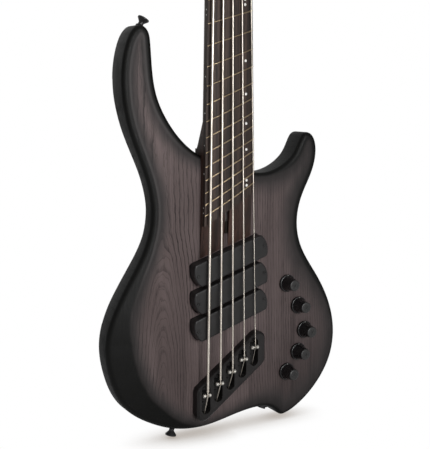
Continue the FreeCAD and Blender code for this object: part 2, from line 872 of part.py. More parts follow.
def make_neck():
    blank = solid_feature("neck_blank", neck_blank())
    tools = [solid_feature("tongue_ramp", tongue_ramp()), solid_feature("rod_channel", rod_channel())]
    depth = "bolt_head_height + bolt_length + running_gap"
    for index, place in enumerate(bolt_places(), 1):
        hole = round_bar(f"neck_bolt_hole_{index}", "bolt_radius", depth, Placement(place, FORWARD))
        tools.append(hole)
    for number in range(1, STRING_COUNT + 1):
        place = HEAD.multiply(Placement(tuner_place(number), BACKWARD))
        tools.append(round_bar(f"tuner_hole_{number}", "bushing_radius", "head_thickness", place))
        screw = HEAD.multiply(Placement(tuner_screw_place(number), FORWARD))
        hole = round_bar(f"tuner_screw_hole_{number}", "tuner_screw_radius", "tuner_screw_length", screw)
        tools.append(hole)
    keep(cut("neck", blank, tools), "neck")


def board_blank():
    nut_ends = fret_ends(0, 0)
    heel_ends = fret_ends(BOARD_END_FRET, 0)
    corners = [(point.x, point.z) for point in (nut_ends[0], nut_ends[1], heel_ends[1], heel_ends[0])]
    blank = prism(corners, NECK_PLANE, CROWN)
    radius = size("board_radius")
    length = size("low_scale")
    return blank.common(Part.makeCylinder(radius, length, Vector(0, CROWN + radius, 0)))


def fret_solid(fret):
    """One fret: a rounded crown and a tang, bent to the fingerboard's curve along its slanted line."""
    ends = fret_ends(fret, size("fret_inset"))
    way = (ends[1] - ends[0]).normalize()
    across = Vector(-way.z, 0, way.x)
    middle = ends[0] - way * (ends[0].x / way.x)
    radius = size("board_radius") / way.x ** 2
    base = Vector(0, CROWN, middle.z)
    half = size("fret_width") / 2
    tang = size("fret_tang_width") / 2
    deep = Vector(0, size("fret_tang_depth"), 0)
    crown = Part.Arc(base - across * half, base - Vector(0, size("fret_height"), 0), base + across * half)
    corners = [base + across * half, base + across * tang, base + across * tang + deep,
               base - across * tang + deep, base - across * tang, base - across * half]
    edges = [crown.toShape()]
    edges += [Part.LineSegment(start, end).toShape() for start, end in zip(corners, corners[1:])]
    face = Part.Face(Part.Wire(edges))
    centre = Vector(0, CROWN + radius, middle.z)
    turns = []
    for end in ends:
        turns.append(math.degrees(math.asin((end - middle).dot(way) / radius)))
    face.rotate(centre, across, -turns[0])
    return face.revolve(centre, across, turns[0] - turns[1])


def marker_places(fret):
    """Top dots lie between the two highest strings, half way to the fret below."""
    middle = Vector()
    for number in (STRING_COUNT - 1, STRING_COUNT):
        for line in (fret - 1, fret):
            middle = middle + string_place(number, line) * 0.25
    return spread_pair(fret, middle)


def side_marker_places(fret):
    """Side dots lie on the bass edge at the same height between the frets."""
    middle = (fret_ends(fret - 1, 0)[0] + fret_ends(fret, 0)[0]) * 0.5
    return spread_pair(fret, middle)


def spread_pair(fret, middle):
    if fret not in PAIRED_FRETS:
        return [middle]
    half = Vector(0, 0, size("marker_pair_gap") / 2)
    return [middle - half, middle + half]


def marker_solids(blank):
    shapes = []
    thickness = size("board_thickness")
    for fret in MARKED_FRETS:
        for place in marker_places(fret):
            base = Vector(place.x, CROWN + crown_drop(place.x) + size("marker_depth"), place.z)
            dot = Part.makeCylinder(size("marker_radius"), thickness, base, FRONT)
            shapes.append(dot.common(blank))
        for place in side_marker_places(fret):
            base = Vector(place.x + size("side_marker_depth"), NECK_PLANE - thickness / 3, place.z)
            dot = Part.makeCylinder(size("side_marker_radius"), OVERRUN, base, Vector(-1, 0, 0))
            shapes.append(dot.common(blank))
    return shapes


def make_fingerboard():
    blank = board_blank()
    frets = Part.makeCompound([fret_solid(fret) for fret in range(1, FRET_COUNT + 1)])
    markers = Part.makeCompound(marker_solids(blank))
    fret_feature = keep(solid_feature("frets", frets), "frets")
    marker_feature = keep(solid_feature("fret_markers", markers), "fret_markers")
    keep(cut("fingerboard", solid_feature("fingerboard_blank", blank), [fret_feature, marker_feature]),
         "fingerboard")


def make_nut():
    """The string nut: a bar across the slanted end of the fingerboard, with a slot for each string."""
    ends = fret_ends(0, 0)
    way = (ends[1] - ends[0]).normalize()
    up = Vector(-way.z, 0, way.x) * size("nut_thickness")
    corners = [(point.x, point.z) for point in (ends[0], ends[1], ends[1] + up, ends[0] + up)]
    bar = prism(corners, NECK_PLANE, CROWN - OVERRUN)
    radius = size("board_radius") + size("nut_top")
    centre = Vector(0, CROWN + size("board_radius"), 0)
    bar = bar.common(Part.makeCylinder(radius, size("head_break") * 2, centre))
    tools = []
    for number in range(1, STRING_COUNT + 1):
        point = nut_point(number)
        room = string_radius(number) + size("running_gap")
        start = point - Vector(0, 0, OVERRUN)
        groove = Part.makeCylinder(room, OVERRUN * 2, start)
        mouth = Part.makeBox(room * 2, OVERRUN, OVERRUN * 2, start - Vector(room, OVERRUN, 0))
        tools.append(solid_feature(f"nut_slot_{number}", groove.fuse(mouth)))
    keep(cut("nut", solid_feature("nut_blank", bar), tools), "nut")


def make_truss_rod():
    level = NECK_PLANE + size("rod_channel_depth") - size("rod_nut_radius") - size("running_gap")
    low = Placement(Vector(0, level, size("rod_end")), Rotation())
    rod = lathe("truss_rod", (
        ("0", "rod_nut_length - rod_thread_length"),
        ("rod_nut_radius / 2", "rod_nut_length - rod_thread_length"),
        ("rod_nut_radius / 2", "rod_nut_length + running_gap"),
        ("rod_radius", "rod_nut_length + running_gap"),
        ("rod_radius", "rod_top - rod_end"),
        ("0", "rod_top - rod_end"),
    ))
    rod.Placement = low
    keep(rod, "truss_rod")
    nut = lathe("truss_rod_nut", (
        ("rod_key_radius", "0"),
        ("rod_nut_radius - rod_key_radius / 4", "0"),
        ("rod_nut_radius", "rod_key_radius / 4"),
        ("rod_nut_radius", "rod_nut_length"),
        ("rod_nut_radius / 2 + shaft_gap", "rod_nut_length"),
        ("rod_nut_radius / 2 + shaft_gap", "rod_nut_length - rod_thread_length - running_gap"),
        ("0", "rod_nut_length - rod_thread_length - running_gap"),
        ("0", "rod_key_depth"),
        ("rod_key_radius", "rod_key_depth"),
    ))
    nut.Placement = low
    keep(nut, "truss_rod_nut")


def make_neck_fixings():
    ferrule = lathe("neck_ferrule_pattern", (
        ("bolt_radius", "0"),
        ("ferrule_radius", "0"),
        ("ferrule_radius", "ferrule_height"),
        ("bolt_head_radius + running_gap", "ferrule_height"),
        ("bolt_head_radius + running_gap", "ferrule_height - bolt_head_height"),
        ("bolt_radius", "ferrule_height - bolt_head_height"),
    ))
    bolt = lathe("neck_bolt_pattern", (
        ("0", "ferrule_height - bolt_head_height - bolt_length"),
        ("bolt_radius", "ferrule_height - bolt_head_height + bolt_radius - bolt_length"),
        ("bolt_radius", "ferrule_height - bolt_head_height"),
        ("bolt_head_radius", "ferrule_height - bolt_head_height"),
        ("bolt_head_radius", "ferrule_height - bolt_head_height / 3"),
        ("bolt_head_radius * 0.7", "ferrule_height"),
        ("0", "ferrule_height"),
    ))
    floor = Vector(0, -size("ferrule_height"), 0)
    places = [Placement(place + floor, BACKWARD) for place in bolt_places()]
    copies("neck_ferrules", ferrule, places)
    copies("neck_bolts", bolt, places)


# Tuners


def tuner_side(number):
    """-1 for a tuner on the bass side, 1 on the treble side."""
    return -1 if number <= BASS_TUNERS else 1


def wrap_radius(number):
    return size("post_waist_radius") + size("string_gap") + string_radius(number)


def tuner_place(number):
    """A post's foot on the headstock's face, in the headstock's frame."""
    if tuner_side(number) < 0:
        z = size("tuner_first") + (number - 1) * size("tuner_pitch")
    else:
        z = size("tuner_first") + size("tuner_stagger") + (STRING_COUNT - number) * size("tuner_pitch")
    saddle = string_place(number, None)
    nut = string_place(number, 0)
    height = size("head_break") + z
    x = nut.x + (nut.x - saddle.x) * (height - nut.z) / (nut.z - saddle.z)
    return Vector(x + tuner_side(number) * wrap_radius(number), 0, z)


def tuner_screw_place(number):
    """The tab screw below each housing, on the back of the headstock."""
    below = size("gear_radius") + size("housing_wall") + size("tuner_tab_length") / 2
    return tuner_place(number) + Vector(0, size("head_thickness"), -below)


def worm_rise():
    """How far the worm lies above the gear's axis."""
    return size("gear_radius") + size("worm_radius") + size("running_gap")


def key_frame(number):
    """A tuning key's frame: z runs along its shaft, out of the headstock's side."""
    level = size("head_thickness") + size("housing_height") / 2
    place = tuner_place(number) + Vector(0, level, worm_rise())
    return HEAD.multiply(Placement(place, Rotation(Vector(0, 0, 1), Vector(tuner_side(number), 0, 0))))


def housing_solid(number):
    """A closed gear case with a screw tab, hollow for the gear and the worm."""
    place = tuner_place(number)
    wall = size("housing_wall")
    gap = size("running_gap")
    thickness = size("head_thickness")
    low = size("gear_radius") + wall
    high = worm_rise() + size("worm_radius") + wall
    width = size("housing_width")
    case = Part.makeBox(width, size("housing_height"), low + high, Vector(-width / 2, thickness, -low))
    outer = [edge for edge in case.Edges if edge.BoundBox.YMax > thickness + size("housing_height") / 2]
    case = case.makeFillet(size("housing_round"), outer)
    tab = size("tuner_tab_length")
    ear = Part.makeBox(tab, size("tuner_tab_thickness"), tab + wall, Vector(-tab / 2, thickness, -low - tab))
    hole = Part.makeCylinder(size("tuner_screw_radius"), OVERRUN, Vector(0, thickness, -low - tab / 2),
                             Vector(0, 1, 0))
    gear_level = thickness + (size("housing_height") - size("gear_height")) / 2 - gap
    room = Part.makeCylinder(size("gear_radius") + gap, size("gear_height") + gap * 2,
                             Vector(0, gear_level, 0), Vector(0, 1, 0))
    post = Part.makeCylinder(size("post_radius") + gap, size("housing_height") / 2, Vector(0, thickness, 0),
                             Vector(0, 1, 0))
    level = thickness + size("housing_height") / 2
    start = Vector(-tuner_side(number) * (size("worm_length") / 2 + gap), level, worm_rise())
    bore = Part.makeCylinder(size("worm_radius") + gap, width, start, Vector(tuner_side(number), 0, 0))
    case = case.fuse(ear).cut(Part.makeCompound([hole, room, post, bore]))
    case.Placement = HEAD.multiply(Placement(place, Rotation()))
    return case


def make_tuners():
    numbers = range(1, STRING_COUNT + 1)
    feet = [HEAD.multiply(Placement(tuner_place(number), FORWARD)) for number in numbers]
    bushing = lathe("tuner_bushing_pattern", (
        ("post_radius + running_gap", "0 - bushing_depth"),
        ("bushing_radius", "0 - bushing_depth"),
        ("bushing_radius", "0"),
        ("flange_radius", "0"),
        ("flange_radius", "flange_height * 0.6"),
        ("flange_radius - flange_height * 0.4", "flange_height"),
        ("post_radius + running_gap", "flange_height"),
    ))
    copies("tuner_bushings", bushing, feet)
    screw = lathe("tuner_screw_pattern", (
        ("0", "0 - tuner_screw_length"),
        ("tuner_screw_radius", "tuner_screw_radius - tuner_screw_length"),
        ("tuner_screw_radius", "tuner_tab_thickness"),
        ("tuner_screw_head_radius", "tuner_tab_thickness"),
        ("tuner_screw_head_radius * 0.8", "tuner_tab_thickness + tuner_screw_head_height"),
        ("0", "tuner_tab_thickness + tuner_screw_head_height"),
    ))
    doc.recompute()
    cases = [housing_solid(number) for number in numbers]
    for number in numbers:
        copy = screw.Shape.copy()
        copy.Placement = HEAD.multiply(Placement(tuner_screw_place(number), BACKWARD))
        cases.append(copy)
    keep(solid_feature("tuner_housings", Part.makeCompound(cases)), "tuner_housings")
    for number in numbers:
        make_tuner_post(number, feet[number - 1])
        make_tuner_key(number)


def make_tuner_post(number, foot):
    """A string post with its worm wheel; z runs out of the headstock's face."""
    low = "0 - head_thickness - housing_height / 2 - gear_height / 2"
    post = lathe(f"tuner_post_{number}", (
        ("0", low),
        ("gear_radius", low),
        ("gear_radius", low + " + gear_height"),
        ("post_radius", low + " + gear_height"),
        ("post_radius", "flange_height"),
        ("post_waist_radius", "flange_height + post_radius - post_waist_radius"),
        ("post_waist_radius", "post_height - post_cap_height - post_cap_radius + post_waist_radius"),
        ("post_cap_radius", "post_height - post_cap_height"),
        ("post_cap_radius", "post_height - post_cap_height / 3"),
        ("post_waist_radius", "post_height"),
        ("0", "post_height"),
    ))
    post.Placement = foot
    keep(post, f"tuner_post_{number}")


def ear_solid():
    """The oval that a player turns, its rim rounded over on both faces."""
    thickness = size("key_ear_thickness")
    oval = Part.Ellipse(Vector(), size("key_ear_length") / 2, size("key_ear_width") / 2)
    ear = Part.Face(Part.Wire(oval.toShape())).extrude(Vector(0, 0, thickness))
    ear.translate(Vector(0, 0, -thickness / 2))
    rims = [edge for edge in ear.Edges if isinstance(edge.Curve, Part.Ellipse)]
    return ear.makeFillet(thickness * EAR_ROUND_SHARE, rims)


def make_tuner_key(number):
    """A worm shaft with a flat oval ear to turn it by."""
    frame = key_frame(number)
    shaft = lathe(f"tuner_shaft_{number}", (
        ("0", "0 - worm_length / 2"),
        ("worm_radius", "0 - worm_length / 2"),
        ("worm_radius", "housing_width / 2 + housing_wall"),
        ("key_shaft_radius", "housing_width / 2 + housing_wall"),
        ("key_shaft_radius", "key_reach - key_collar_length"),
        ("key_collar_radius", "key_reach - key_collar_length / 2"),
        ("key_shaft_radius", "key_reach + key_collar_length"),
        ("0", "key_reach + key_collar_length"),
    ))
    shaft.Placement = frame
    ear = solid_feature(f"tuner_ear_{number}", ear_solid())
    middle = Vector(0, 0, size("key_reach") + size("key_ear_length") / 2)
    ear.Placement = frame.multiply(Placement(middle, Rotation(Vector(1, 1, 1), -120)))
    keep(joined(f"tuner_key_{number}", [shaft, ear]), f"tuner_key_{number}")


# Bridge


def bridge_line(x):
    """Height of the slanted line through the saddles at a distance from the middle."""
    low = string_place(1, None)
    high = string_place(STRING_COUNT, None)
    return low.z + (high.z - low.z) * (x - low.x) / (high.x - low.x)


def bridge_screw_frame(number, level):
    place = string_place(number, None)
    return Placement(Vector(place.x, level, place.z - size("bridge_screw_place")), BACKWARD)


def slot_solid(number):
    """A round-ended slot above the bridge's floor, along one string."""
    place = string_place(number, None)
    radius = size("slot_width") / 2
    floor = TOP - size("slot_floor")
    low = place.z - size("slot_below") + radius
    high = place.z + size("slot_above") - radius
    depth = size("bridge_thickness")
    slot = Part.makeBox(radius * 2, depth, high - low, Vector(place.x - radius, floor - depth, low))
    for z in (low, high):
        slot = slot.fuse(Part.makeCylinder(radius, depth, Vector(place.x, floor, z), FRONT))
    return slot


def anchor_line(number):
    """From the saddle's top to the string's hole in the tail of the bridge: start and direction."""
    saddle = saddle_point(number)
    mouth = Vector(saddle.x, PLATE_TOP + size("anchor_depth"), saddle.z - size("slot_below"))
    return mouth, (mouth - saddle).normalize()


def anchor_hole(number):
    mouth, way = anchor_line(number)
    radius = size("anchor_hole_radius")
    hole = bar_between(mouth - way * size("slot_width") / 2, mouth + way * OVERRUN, radius)
    seat = mouth + way * (size("ball_seat") - size("shaft_gap"))
    return hole.fuse(bar_between(seat, seat + way * OVERRUN * 2, size("ball_radius") + size("running_gap")))


def make_bridge():
    left = size("bridge_left")
    right = size("bridge_right")
    above = size("bridge_above")
    below = size("bridge_below")
    corners = [
        (-left, bridge_line(-left) + above), (right, bridge_line(right) + above),
        (right, bridge_line(right) - below), (-left, bridge_line(-left) - below),
    ]
    blank = prism(corners, TOP, PLATE_TOP)
    upright = [edge for edge in blank.Edges if abs(edge.tangentAt(edge.FirstParameter).y) > 0.9]
    blank = blank.makeFillet(size("bridge_corner"), upright)
    rim = [edge for edge in blank.Edges if edge.BoundBox.YMax < PLATE_TOP + size("shaft_gap")]
    blank = blank.makeChamfer(size("bridge_bevel"), rim)
    base = solid_feature("bridge_blank", blank)
    tools = []
    for number in range(1, STRING_COUNT + 1):
        tools.append(solid_feature(f"bridge_slot_{number}", slot_solid(number)))
        tools.append(solid_feature(f"bridge_anchor_{number}", anchor_hole(number)))
        place = bridge_screw_frame(number, TOP - size("slot_floor"))
        tools.append(round_bar(f"bridge_hole_{number}", "bridge_screw_radius", "bridge_screw_length", place))
    keep(cut("bridge_plate", base, tools), "bridge_plate")
    screw = lathe("bridge_screw_pattern", (
        ("0", "slot_floor + bridge_screw_length"),
        ("bridge_screw_radius", "slot_floor + bridge_screw_length - bridge_screw_radius"),
        ("bridge_screw_radius", "0"),
        ("bridge_screw_head_radius", "0"),
        ("bridge_screw_head_radius * 0.8", "0 - bridge_screw_head_height"),
        ("0", "0 - bridge_screw_head_height"),
    ))
    copies("bridge_screws", screw, [
        bridge_screw_frame(number, TOP - size("slot_floor")) for number in range(1, STRING_COUNT + 1)
    ])


def spool_axis(number):
    """The middle of a saddle's spool, just under the string's core."""
    drop = string_radius(number) * CORE_SHARE + size("string_gap") + size("spool_neck_radius")
    return saddle_point(number) + Vector(0, drop, 0)


def make_saddle(number):
    """A sliding block with a tower, and the grooved spool that it carries."""
    axis = spool_axis(number)
    gap = size("running_gap")
    half = size("slot_width") / 2 - gap
    floor = TOP - size("slot_floor") - gap / 2
    top = PLATE_TOP + size("saddle_sink")
    foot = prism([
        (axis.x - half, axis.z - size("saddle_below")), (axis.x + half, axis.z - size("saddle_below")),
        (axis.x + half, axis.z + size("saddle_above")), (axis.x - half, axis.z + size("saddle_above")),
    ], floor, top)
    reach = size("spool_width") / 2 - size("spool_edge")
    tower = prism([
        (axis.x - reach, axis.z - size("tower_below")), (axis.x + reach, axis.z - size("tower_below")),
        (axis.x + reach, axis.z + size("tower_above")), (axis.x - reach, axis.z + size("tower_above")),
    ], top, axis.y + size("spool_radius"))
    keep(solid_feature(f"saddle_block_{number}", foot.fuse(tower).removeSplitter()), f"saddle_block_{number}")
    neck = "spool_neck_width / 2"
    end = "spool_width / 2"
    spool = lathe(f"saddle_spool_{number}", (
        ("0", "0 - " + end),
        ("spool_radius - spool_edge", "0 - " + end),
        ("spool_radius", "spool_edge - " + end),
        ("spool_radius", "0 - spool_flank - " + neck),
        ("spool_neck_radius", "0 - " + neck),
        ("spool_neck_radius", neck),
        ("spool_radius", "spool_flank + " + neck),
        ("spool_radius", end + " - spool_edge"),
        ("spool_radius - spool_edge", end),
        ("0", end),
    ))
    spool.Placement = Placement(axis, Rotation(Vector(0, 0, 1), Vector(1, 0, 0)))
    keep(spool, f"saddle_spool_{number}")


# Strings


def straight(start, end):
    return Part.LineSegment(start, end).toShape()


def rounded_route(points, radii):
    """Straight runs between points, joined by tangent arcs of the given radii."""
    edges = []
    start = points[0]
    for before, corner, after, radius in zip(points, points[1:], points[2:], radii):
        back = (before - corner).normalize()
        ahead = (after - corner).normalize()
        turn = math.pi - back.getAngle(ahead)
        reach = radius * math.tan(turn / 2)
        rise = radius / math.cos(turn / 2) - radius
        inward = (back + ahead).normalize()
        arc = Part.Arc(corner + back * reach, corner + inward * rise, corner + ahead * reach)
        edges += [straight(start, corner + back * reach), arc.toShape()]
        start = corner + ahead * reach
    edges.append(straight(start, points[-1]))
    return edges


def half_biarc(start, control, end):
    """The arc from start to end whose tangents meet at a control point."""
    chord = (start + end) * 0.5
    rise = control - chord
    tangent = (control - start).Length
    half_turn = math.acos((end - start).Length / 2 / tangent)
    sagitta = tangent / math.tan(half_turn) * (1 - math.cos(half_turn))
    return Part.Arc(start, chord + rise.normalize() * sagitta, end).toShape()


def biarc(start, start_way, end, end_way):
    """Two arcs that leave one point and reach another along given directions."""
    span = end - start
    square = 2 * (1 - start_way.dot(end_way))
    linear = 2 * span.dot(start_way + end_way)
    reach = (math.sqrt(linear ** 2 + 4 * square * span.dot(span)) - linear) / (2 * square)
    first = start + start_way * reach
    second = end - end_way * reach
    middle = (first + second) * 0.5
    return [half_biarc(start, first, middle), half_biarc(middle, second, end)]


def tube(edges, radius):
    """A round tube along a wire, its volume set against section times length."""
    wire = Part.Wire(edges)
    start = edges[0].valueAt(edges[0].FirstParameter)
    way = edges[0].tangentAt(edges[0].FirstParameter)
    ring = Part.Wire(Part.makeCircle(radius, start, way))
    pipe = wire.makePipeShell([ring], True, False)
    expected = math.pi * radius ** 2 * wire.Length
    print(f"tube volume {pipe.Volume / expected:.4f} of section times length")
    return pipe


def post_tangent(number, nut):
    """Where a string meets its post's winding, in the headstock's frame, and its angle there."""
    side = tuner_side(number)
    start = HEAD.inverse().multVec(nut)
    post = tuner_place(number)
    radius = wrap_radius(number)
    away = math.hypot(post.x - start.x, post.z - start.z)
    heading = math.atan2(post.z - start.z, post.x - start.x) + side * math.asin(radius / away)
    run = math.sqrt(away ** 2 - radius ** 2)
    point = Vector(start.x + run * math.cos(heading), -size("wrap_top"), start.z + run * math.sin(heading))
    return point, heading + side * math.pi / 2


def winding_point(number, angle, turned):
    """A point of the winding and its direction, in the headstock's frame."""
    side = -tuner_side(number)
    post = tuner_place(number)
    radius = wrap_radius(number)
    pitch = 2 * string_radius(number) + size("wrap_gap")
    phase = angle + side * turned
    place = Vector(post.x + radius * math.cos(phase), -size("wrap_top") + pitch * turned / (2 * math.pi),
                   post.z + radius * math.sin(phase))
    way = Vector(-side * radius * math.sin(phase), pitch / (2 * math.pi), side * radius * math.cos(phase))
    return place, way.normalize()


def winding(number, start, start_way, angle):
    """The turns of a string round its post, as pairs of arcs a quarter turn at a time."""
    edges = []
    quarters = int(WRAP_TURNS[number - 1] * 4)
    for quarter in range(1, quarters + 1):
        place, way = winding_point(number, angle, math.pi / 2 * quarter)
        place = HEAD.multVec(place)
        way = HEAD.Rotation.multVec(way)
        edges += biarc(start, start_way, place, way)
        start = place
        start_way = way
    return edges


def winding_gap(edges, radius):
    """The least room between a winding's neighbouring turns, measured on points along it."""
    points = []
    for edge in edges:
        points += edge.discretize(9)[:-1]
    turn = 4 * 2 * 8
    room = []
    for index, point in enumerate(points):
        room += [(point - other).Length - 2 * radius for other in points[index + turn // 2:]]
    return min(room) if room else None


def string_path(number):
    """The core's run from the ball over the saddle, the wound run up to the post, and the winding."""
    saddle = saddle_point(number)
    nut = nut_point(number)
    along = (nut - saddle).normalize()
    rear = nut + along * size("nut_thickness") * 2
    mouth, way = anchor_line(number)
    ball = mouth + way * size("ball_seat")
    joint = saddle + along * size("taper_start")
    core = rounded_route([ball, saddle, joint], [size("saddle_bend_radius")])
    tangent, angle = post_tangent(number, rear)
    meeting = HEAD.multVec(tangent)
    wound = rounded_route([joint, rear, meeting], [size("nut_bend_radius")])
    turns = winding(number, meeting, (meeting - rear).normalize(), angle)
    return core, wound, turns, joint, along, ball, way


def make_string(number):
    radius = string_radius(number)
    core, wound, turns, joint, along, ball, way = string_path(number)
    room = winding_gap(turns, radius)
    if room is not None:
        print(f"string {number} winding's least gap to itself {room:.2f} mm")
    wire = tube(wound + turns, radius)
    thin = tube(core, radius * CORE_SHARE)
    half = along * size("taper_length") / 2
    bulge = bar_between(joint - half, joint + half, radius + size("taper_bulge"))
    end = bar_between(ball, ball + way * size("ball_length"), size("ball_radius"))
    shape = wire.fuse(bulge).fuse(thin).fuse(end)
    keep(solid_feature(f"string_{number}", shape), f"string_{number}")


# Pickups


def make_pickup(number):
    """A cover open at the back, the coils inside it, and the two screws that set its height."""
    frame = pickup_frame(number)
    rise = size("pickup_rise")
    wall = size("pickup_wall")
    shell = pickup_solid(0, -rise, size("pickup_seat"))
    rim = [edge for edge in shell.Edges if edge.BoundBox.YMax < size("shaft_gap") - rise]
    shell = shell.makeFillet(size("pickup_round"), rim)
    shoulder = size("pickup_length") / 2 - size("pickup_bulge") - size("pickup_screw_inset")
    half = size("pickup_width") / 2 - wall
    inside = prism([(-shoulder, -half), (shoulder, -half), (shoulder, half), (-shoulder, half)],
                   wall - rise, size("pickup_seat"))
    tools = [inside]
    for side in (-1, 1):
        place = Vector(side * (size("pickup_length") / 2 - size("pickup_screw_inset")), -rise, 0)
        head = Part.makeCylinder(size("pickup_screw_head_radius"), size("pickup_screw_head_height"), place,
                                 Vector(0, 1, 0))
        tools += [head, Part.makeCylinder(size("pickup_screw_radius"), OVERRUN * 2, place, Vector(0, 1, 0))]
    shell = shell.cut(Part.makeCompound(tools))
    shell.Placement = frame
    keep(solid_feature(f"pickup_cover_{number}", shell), f"pickup_cover_{number}")
    coils = prism([(-shoulder, -half), (shoulder, -half), (shoulder, half), (-shoulder, half)],
                  wall - rise, wall - rise + size("coil_height"))
    coils.Placement = frame
    keep(solid_feature(f"pickup_coils_{number}", coils), f"pickup_coils_{number}")
    screw = lathe(f"pickup_screw_pattern_{number}", (
        ("0", "0 - pickup_screw_length"),
        ("pickup_screw_radius", "pickup_screw_radius - pickup_screw_length"),
        ("pickup_screw_radius", "0 - pickup_screw_head_height"),
        ("pickup_screw_head_radius", "0 - pickup_screw_head_height"),
        ("pickup_screw_head_radius", "0"),
        ("0", "0"),
    ))
    copies(f"pickup_screws_{number}", screw, pickup_screw_frames(number))


# Controls


def make_knob(index):
    """A turned knob and, as a second solid, the potentiometer's shaft that it is pressed on."""
    knob = lathe(f"knob_shell_{index + 1}", (
        ("0", "pot_shaft_top"),
        ("pot_shaft_radius", "pot_shaft_top"),
        ("pot_shaft_radius", "knob_hollow_height"),
        ("knob_hollow_radius", "knob_hollow_height"),
        ("knob_hollow_radius", "knob_lift"),
        ("knob_skirt_radius - knob_edge", "knob_lift"),
        ("knob_skirt_radius", "knob_lift + knob_edge"),
        ("knob_skirt_radius", "knob_skirt_height - knob_edge"),
        ("knob_cone_radius", "knob_skirt_height"),
        ("knob_top_radius", "knob_height - knob_edge"),
        ("knob_top_radius - knob_edge", "knob_height"),
        ("knob_dimple_radius", "knob_height"),
        ("knob_dimple_radius - knob_edge", "knob_height - knob_dimple_depth"),
        ("0", "knob_height - knob_dimple_depth"),
    ))
    low = "0 - cavity_wall - pot_depth + pot_back + running_gap"
    shaft = lathe(f"knob_shaft_{index + 1}", (
        ("0", low),
        ("pot_shaft_radius", low),
        ("pot_shaft_radius", "pot_shaft_top"),
        ("0", "pot_shaft_top"),
    ))
    doc.recompute()
    pair = []
    for master in (knob, shaft):
        copy = master.Shape.copy()
        copy.Placement = Placement(knob_place(index), FORWARD)
        pair.append(copy)
    keep(solid_feature(f"knob_{index + 1}", Part.makeCompound(pair)), f"knob_{index + 1}")


def make_potentiometers():
    back = "0 - cavity_wall - pot_depth"
    pot = lathe("potentiometer_pattern", (
        ("0", back),
        ("pot_radius", back),
        ("pot_radius", "0 - cavity_wall"),
        ("pot_bush_radius", "0 - cavity_wall"),
        ("pot_bush_radius", "0"),
        ("pot_nut_radius", "0"),
        ("pot_nut_radius", "pot_nut_height"),
        ("pot_bush_radius", "pot_nut_height"),
        ("pot_bush_radius", "pot_bush_height"),
        ("pot_shaft_radius + shaft_gap", "pot_bush_height"),
        ("pot_shaft_radius + shaft_gap", back + " + pot_back"),
        ("0", back + " + pot_back"),
    ))
    places = [Placement(knob_place(index), FORWARD) for index in range(len(KNOB_SHARES))]
    copies("potentiometers", pot, places)


def make_electronics():
    behind = TOP + size("cavity_wall") + size("pot_depth")
    width = size("body_width")
    length = size("body_length")
    low_corner, sides = BOARD_PLATE_SHARES
    corner = Vector(low_corner[0] * width, behind, low_corner[1] * length)
    across, along = f"body_width * {sides[0]}", f"body_length * {sides[1]}"
    board = block("circuit_board", across, "board_plate_thickness", along, corner)
    keep(board, "circuit_board")
    corner = Vector(BATTERY_SHARES[0] * width, TOP + size("cavity_wall"), BATTERY_SHARES[1] * length)
    cell = block("battery_case", "battery_width", "battery_depth", "battery_length", corner)
    doc.recompute()
    battery = doc.addObject("Part::Fillet", "battery")
    battery.Base = cell
    radius = size("battery_round")
    battery.Edges = [(index, radius, radius) for index in range(1, len(cell.Shape.Edges) + 1)]
    keep(battery, "battery")


def make_control_cover():
    edge = cavity_wire(BACK, size("cover_lip") - size("cover_gap"))
    lid = Part.Face(edge).extrude(Vector(0, -size("cover_thickness"), 0))
    base = solid_feature("control_cover_blank", lid)
    holes = []
    for index, place in enumerate(cover_screw_places(), 1):
        frame = Placement(place, FORWARD)
        hole = round_bar(f"cover_hole_{index}", "cover_screw_radius + cover_gap", "cover_screw_length", frame)
        sink = round_bar(f"cover_sink_{index}", "cover_screw_head_radius", "cover_screw_head_height", frame)
        holes += [hole, sink]
    keep(cut("control_cover", base, holes), "control_cover")
    screw = lathe("cover_screw_pattern", (
        ("0", "0 - cover_screw_length"),
        ("cover_screw_radius", "cover_screw_radius - cover_screw_length"),
        ("cover_screw_radius", "0 - cover_screw_head_height"),
        ("cover_screw_head_radius", "0 - cover_screw_head_height"),
        ("cover_screw_head_radius", "0"),
        ("0", "0"),
    ))
    copies("cover_screws", screw, [Placement(place, BACKWARD) for place in cover_screw_places()])


def check_and_write():
    """Stops on any failed object or broken shape, then writes one file for each sub-part."""
    doc.recompute()
    for feature in doc.Objects:
        if {"Invalid", "Error"} & set(feature.State):
            raise RuntimeError(f"{feature.Label} failed: {feature.State}")
    for feature in pieces:
        shape = feature.Shape
        if shape.isNull() or not shape.isValid() or not shape.Solids:
            raise RuntimeError(f"{feature.Label} has no valid solid")
    os.makedirs("parts", exist_ok=True)
    for feature in pieces:
        feature.Shape.exportStep(os.path.join("parts", feature.Label + ".step"))
    print(len(pieces), "sub-parts written")


def main():
    curve = outline_curve()
    make_body(curve)
    make_neck()
    make_fingerboard()
    make_nut()
    make_truss_rod()
    make_neck_fixings()
    make_tuners()
    make_bridge()
    for number in range(1, STRING_COUNT + 1):
        make_saddle(number)
        make_string(number)
    for number in range(1, PICKUP_COUNT + 1):
        make_pickup(number)
    for index in range(len(KNOB_SHARES)):
        make_knob(index)
    make_potentiometers()
    make_electronics()
    make_control_cover()
    make_strap_buttons(curve)
    make_output_jack(curve)
    check_and_write()


main()
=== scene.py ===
import logging
import math
from dataclasses import dataclass, field
from enum import Enum
from typing import Callable, Sequence

import bmesh
import bpy
import numpy as np
from bmesh.types import BMesh, BMVert
from bpy.types import ID, Material, Mesh, NodeSocket, NodeTree, Object, Scene, World
from mathutils import Matrix, Vector
from mathutils.geometry import delaunay_2d_cdt
from mathutils.kdtree import KDTree


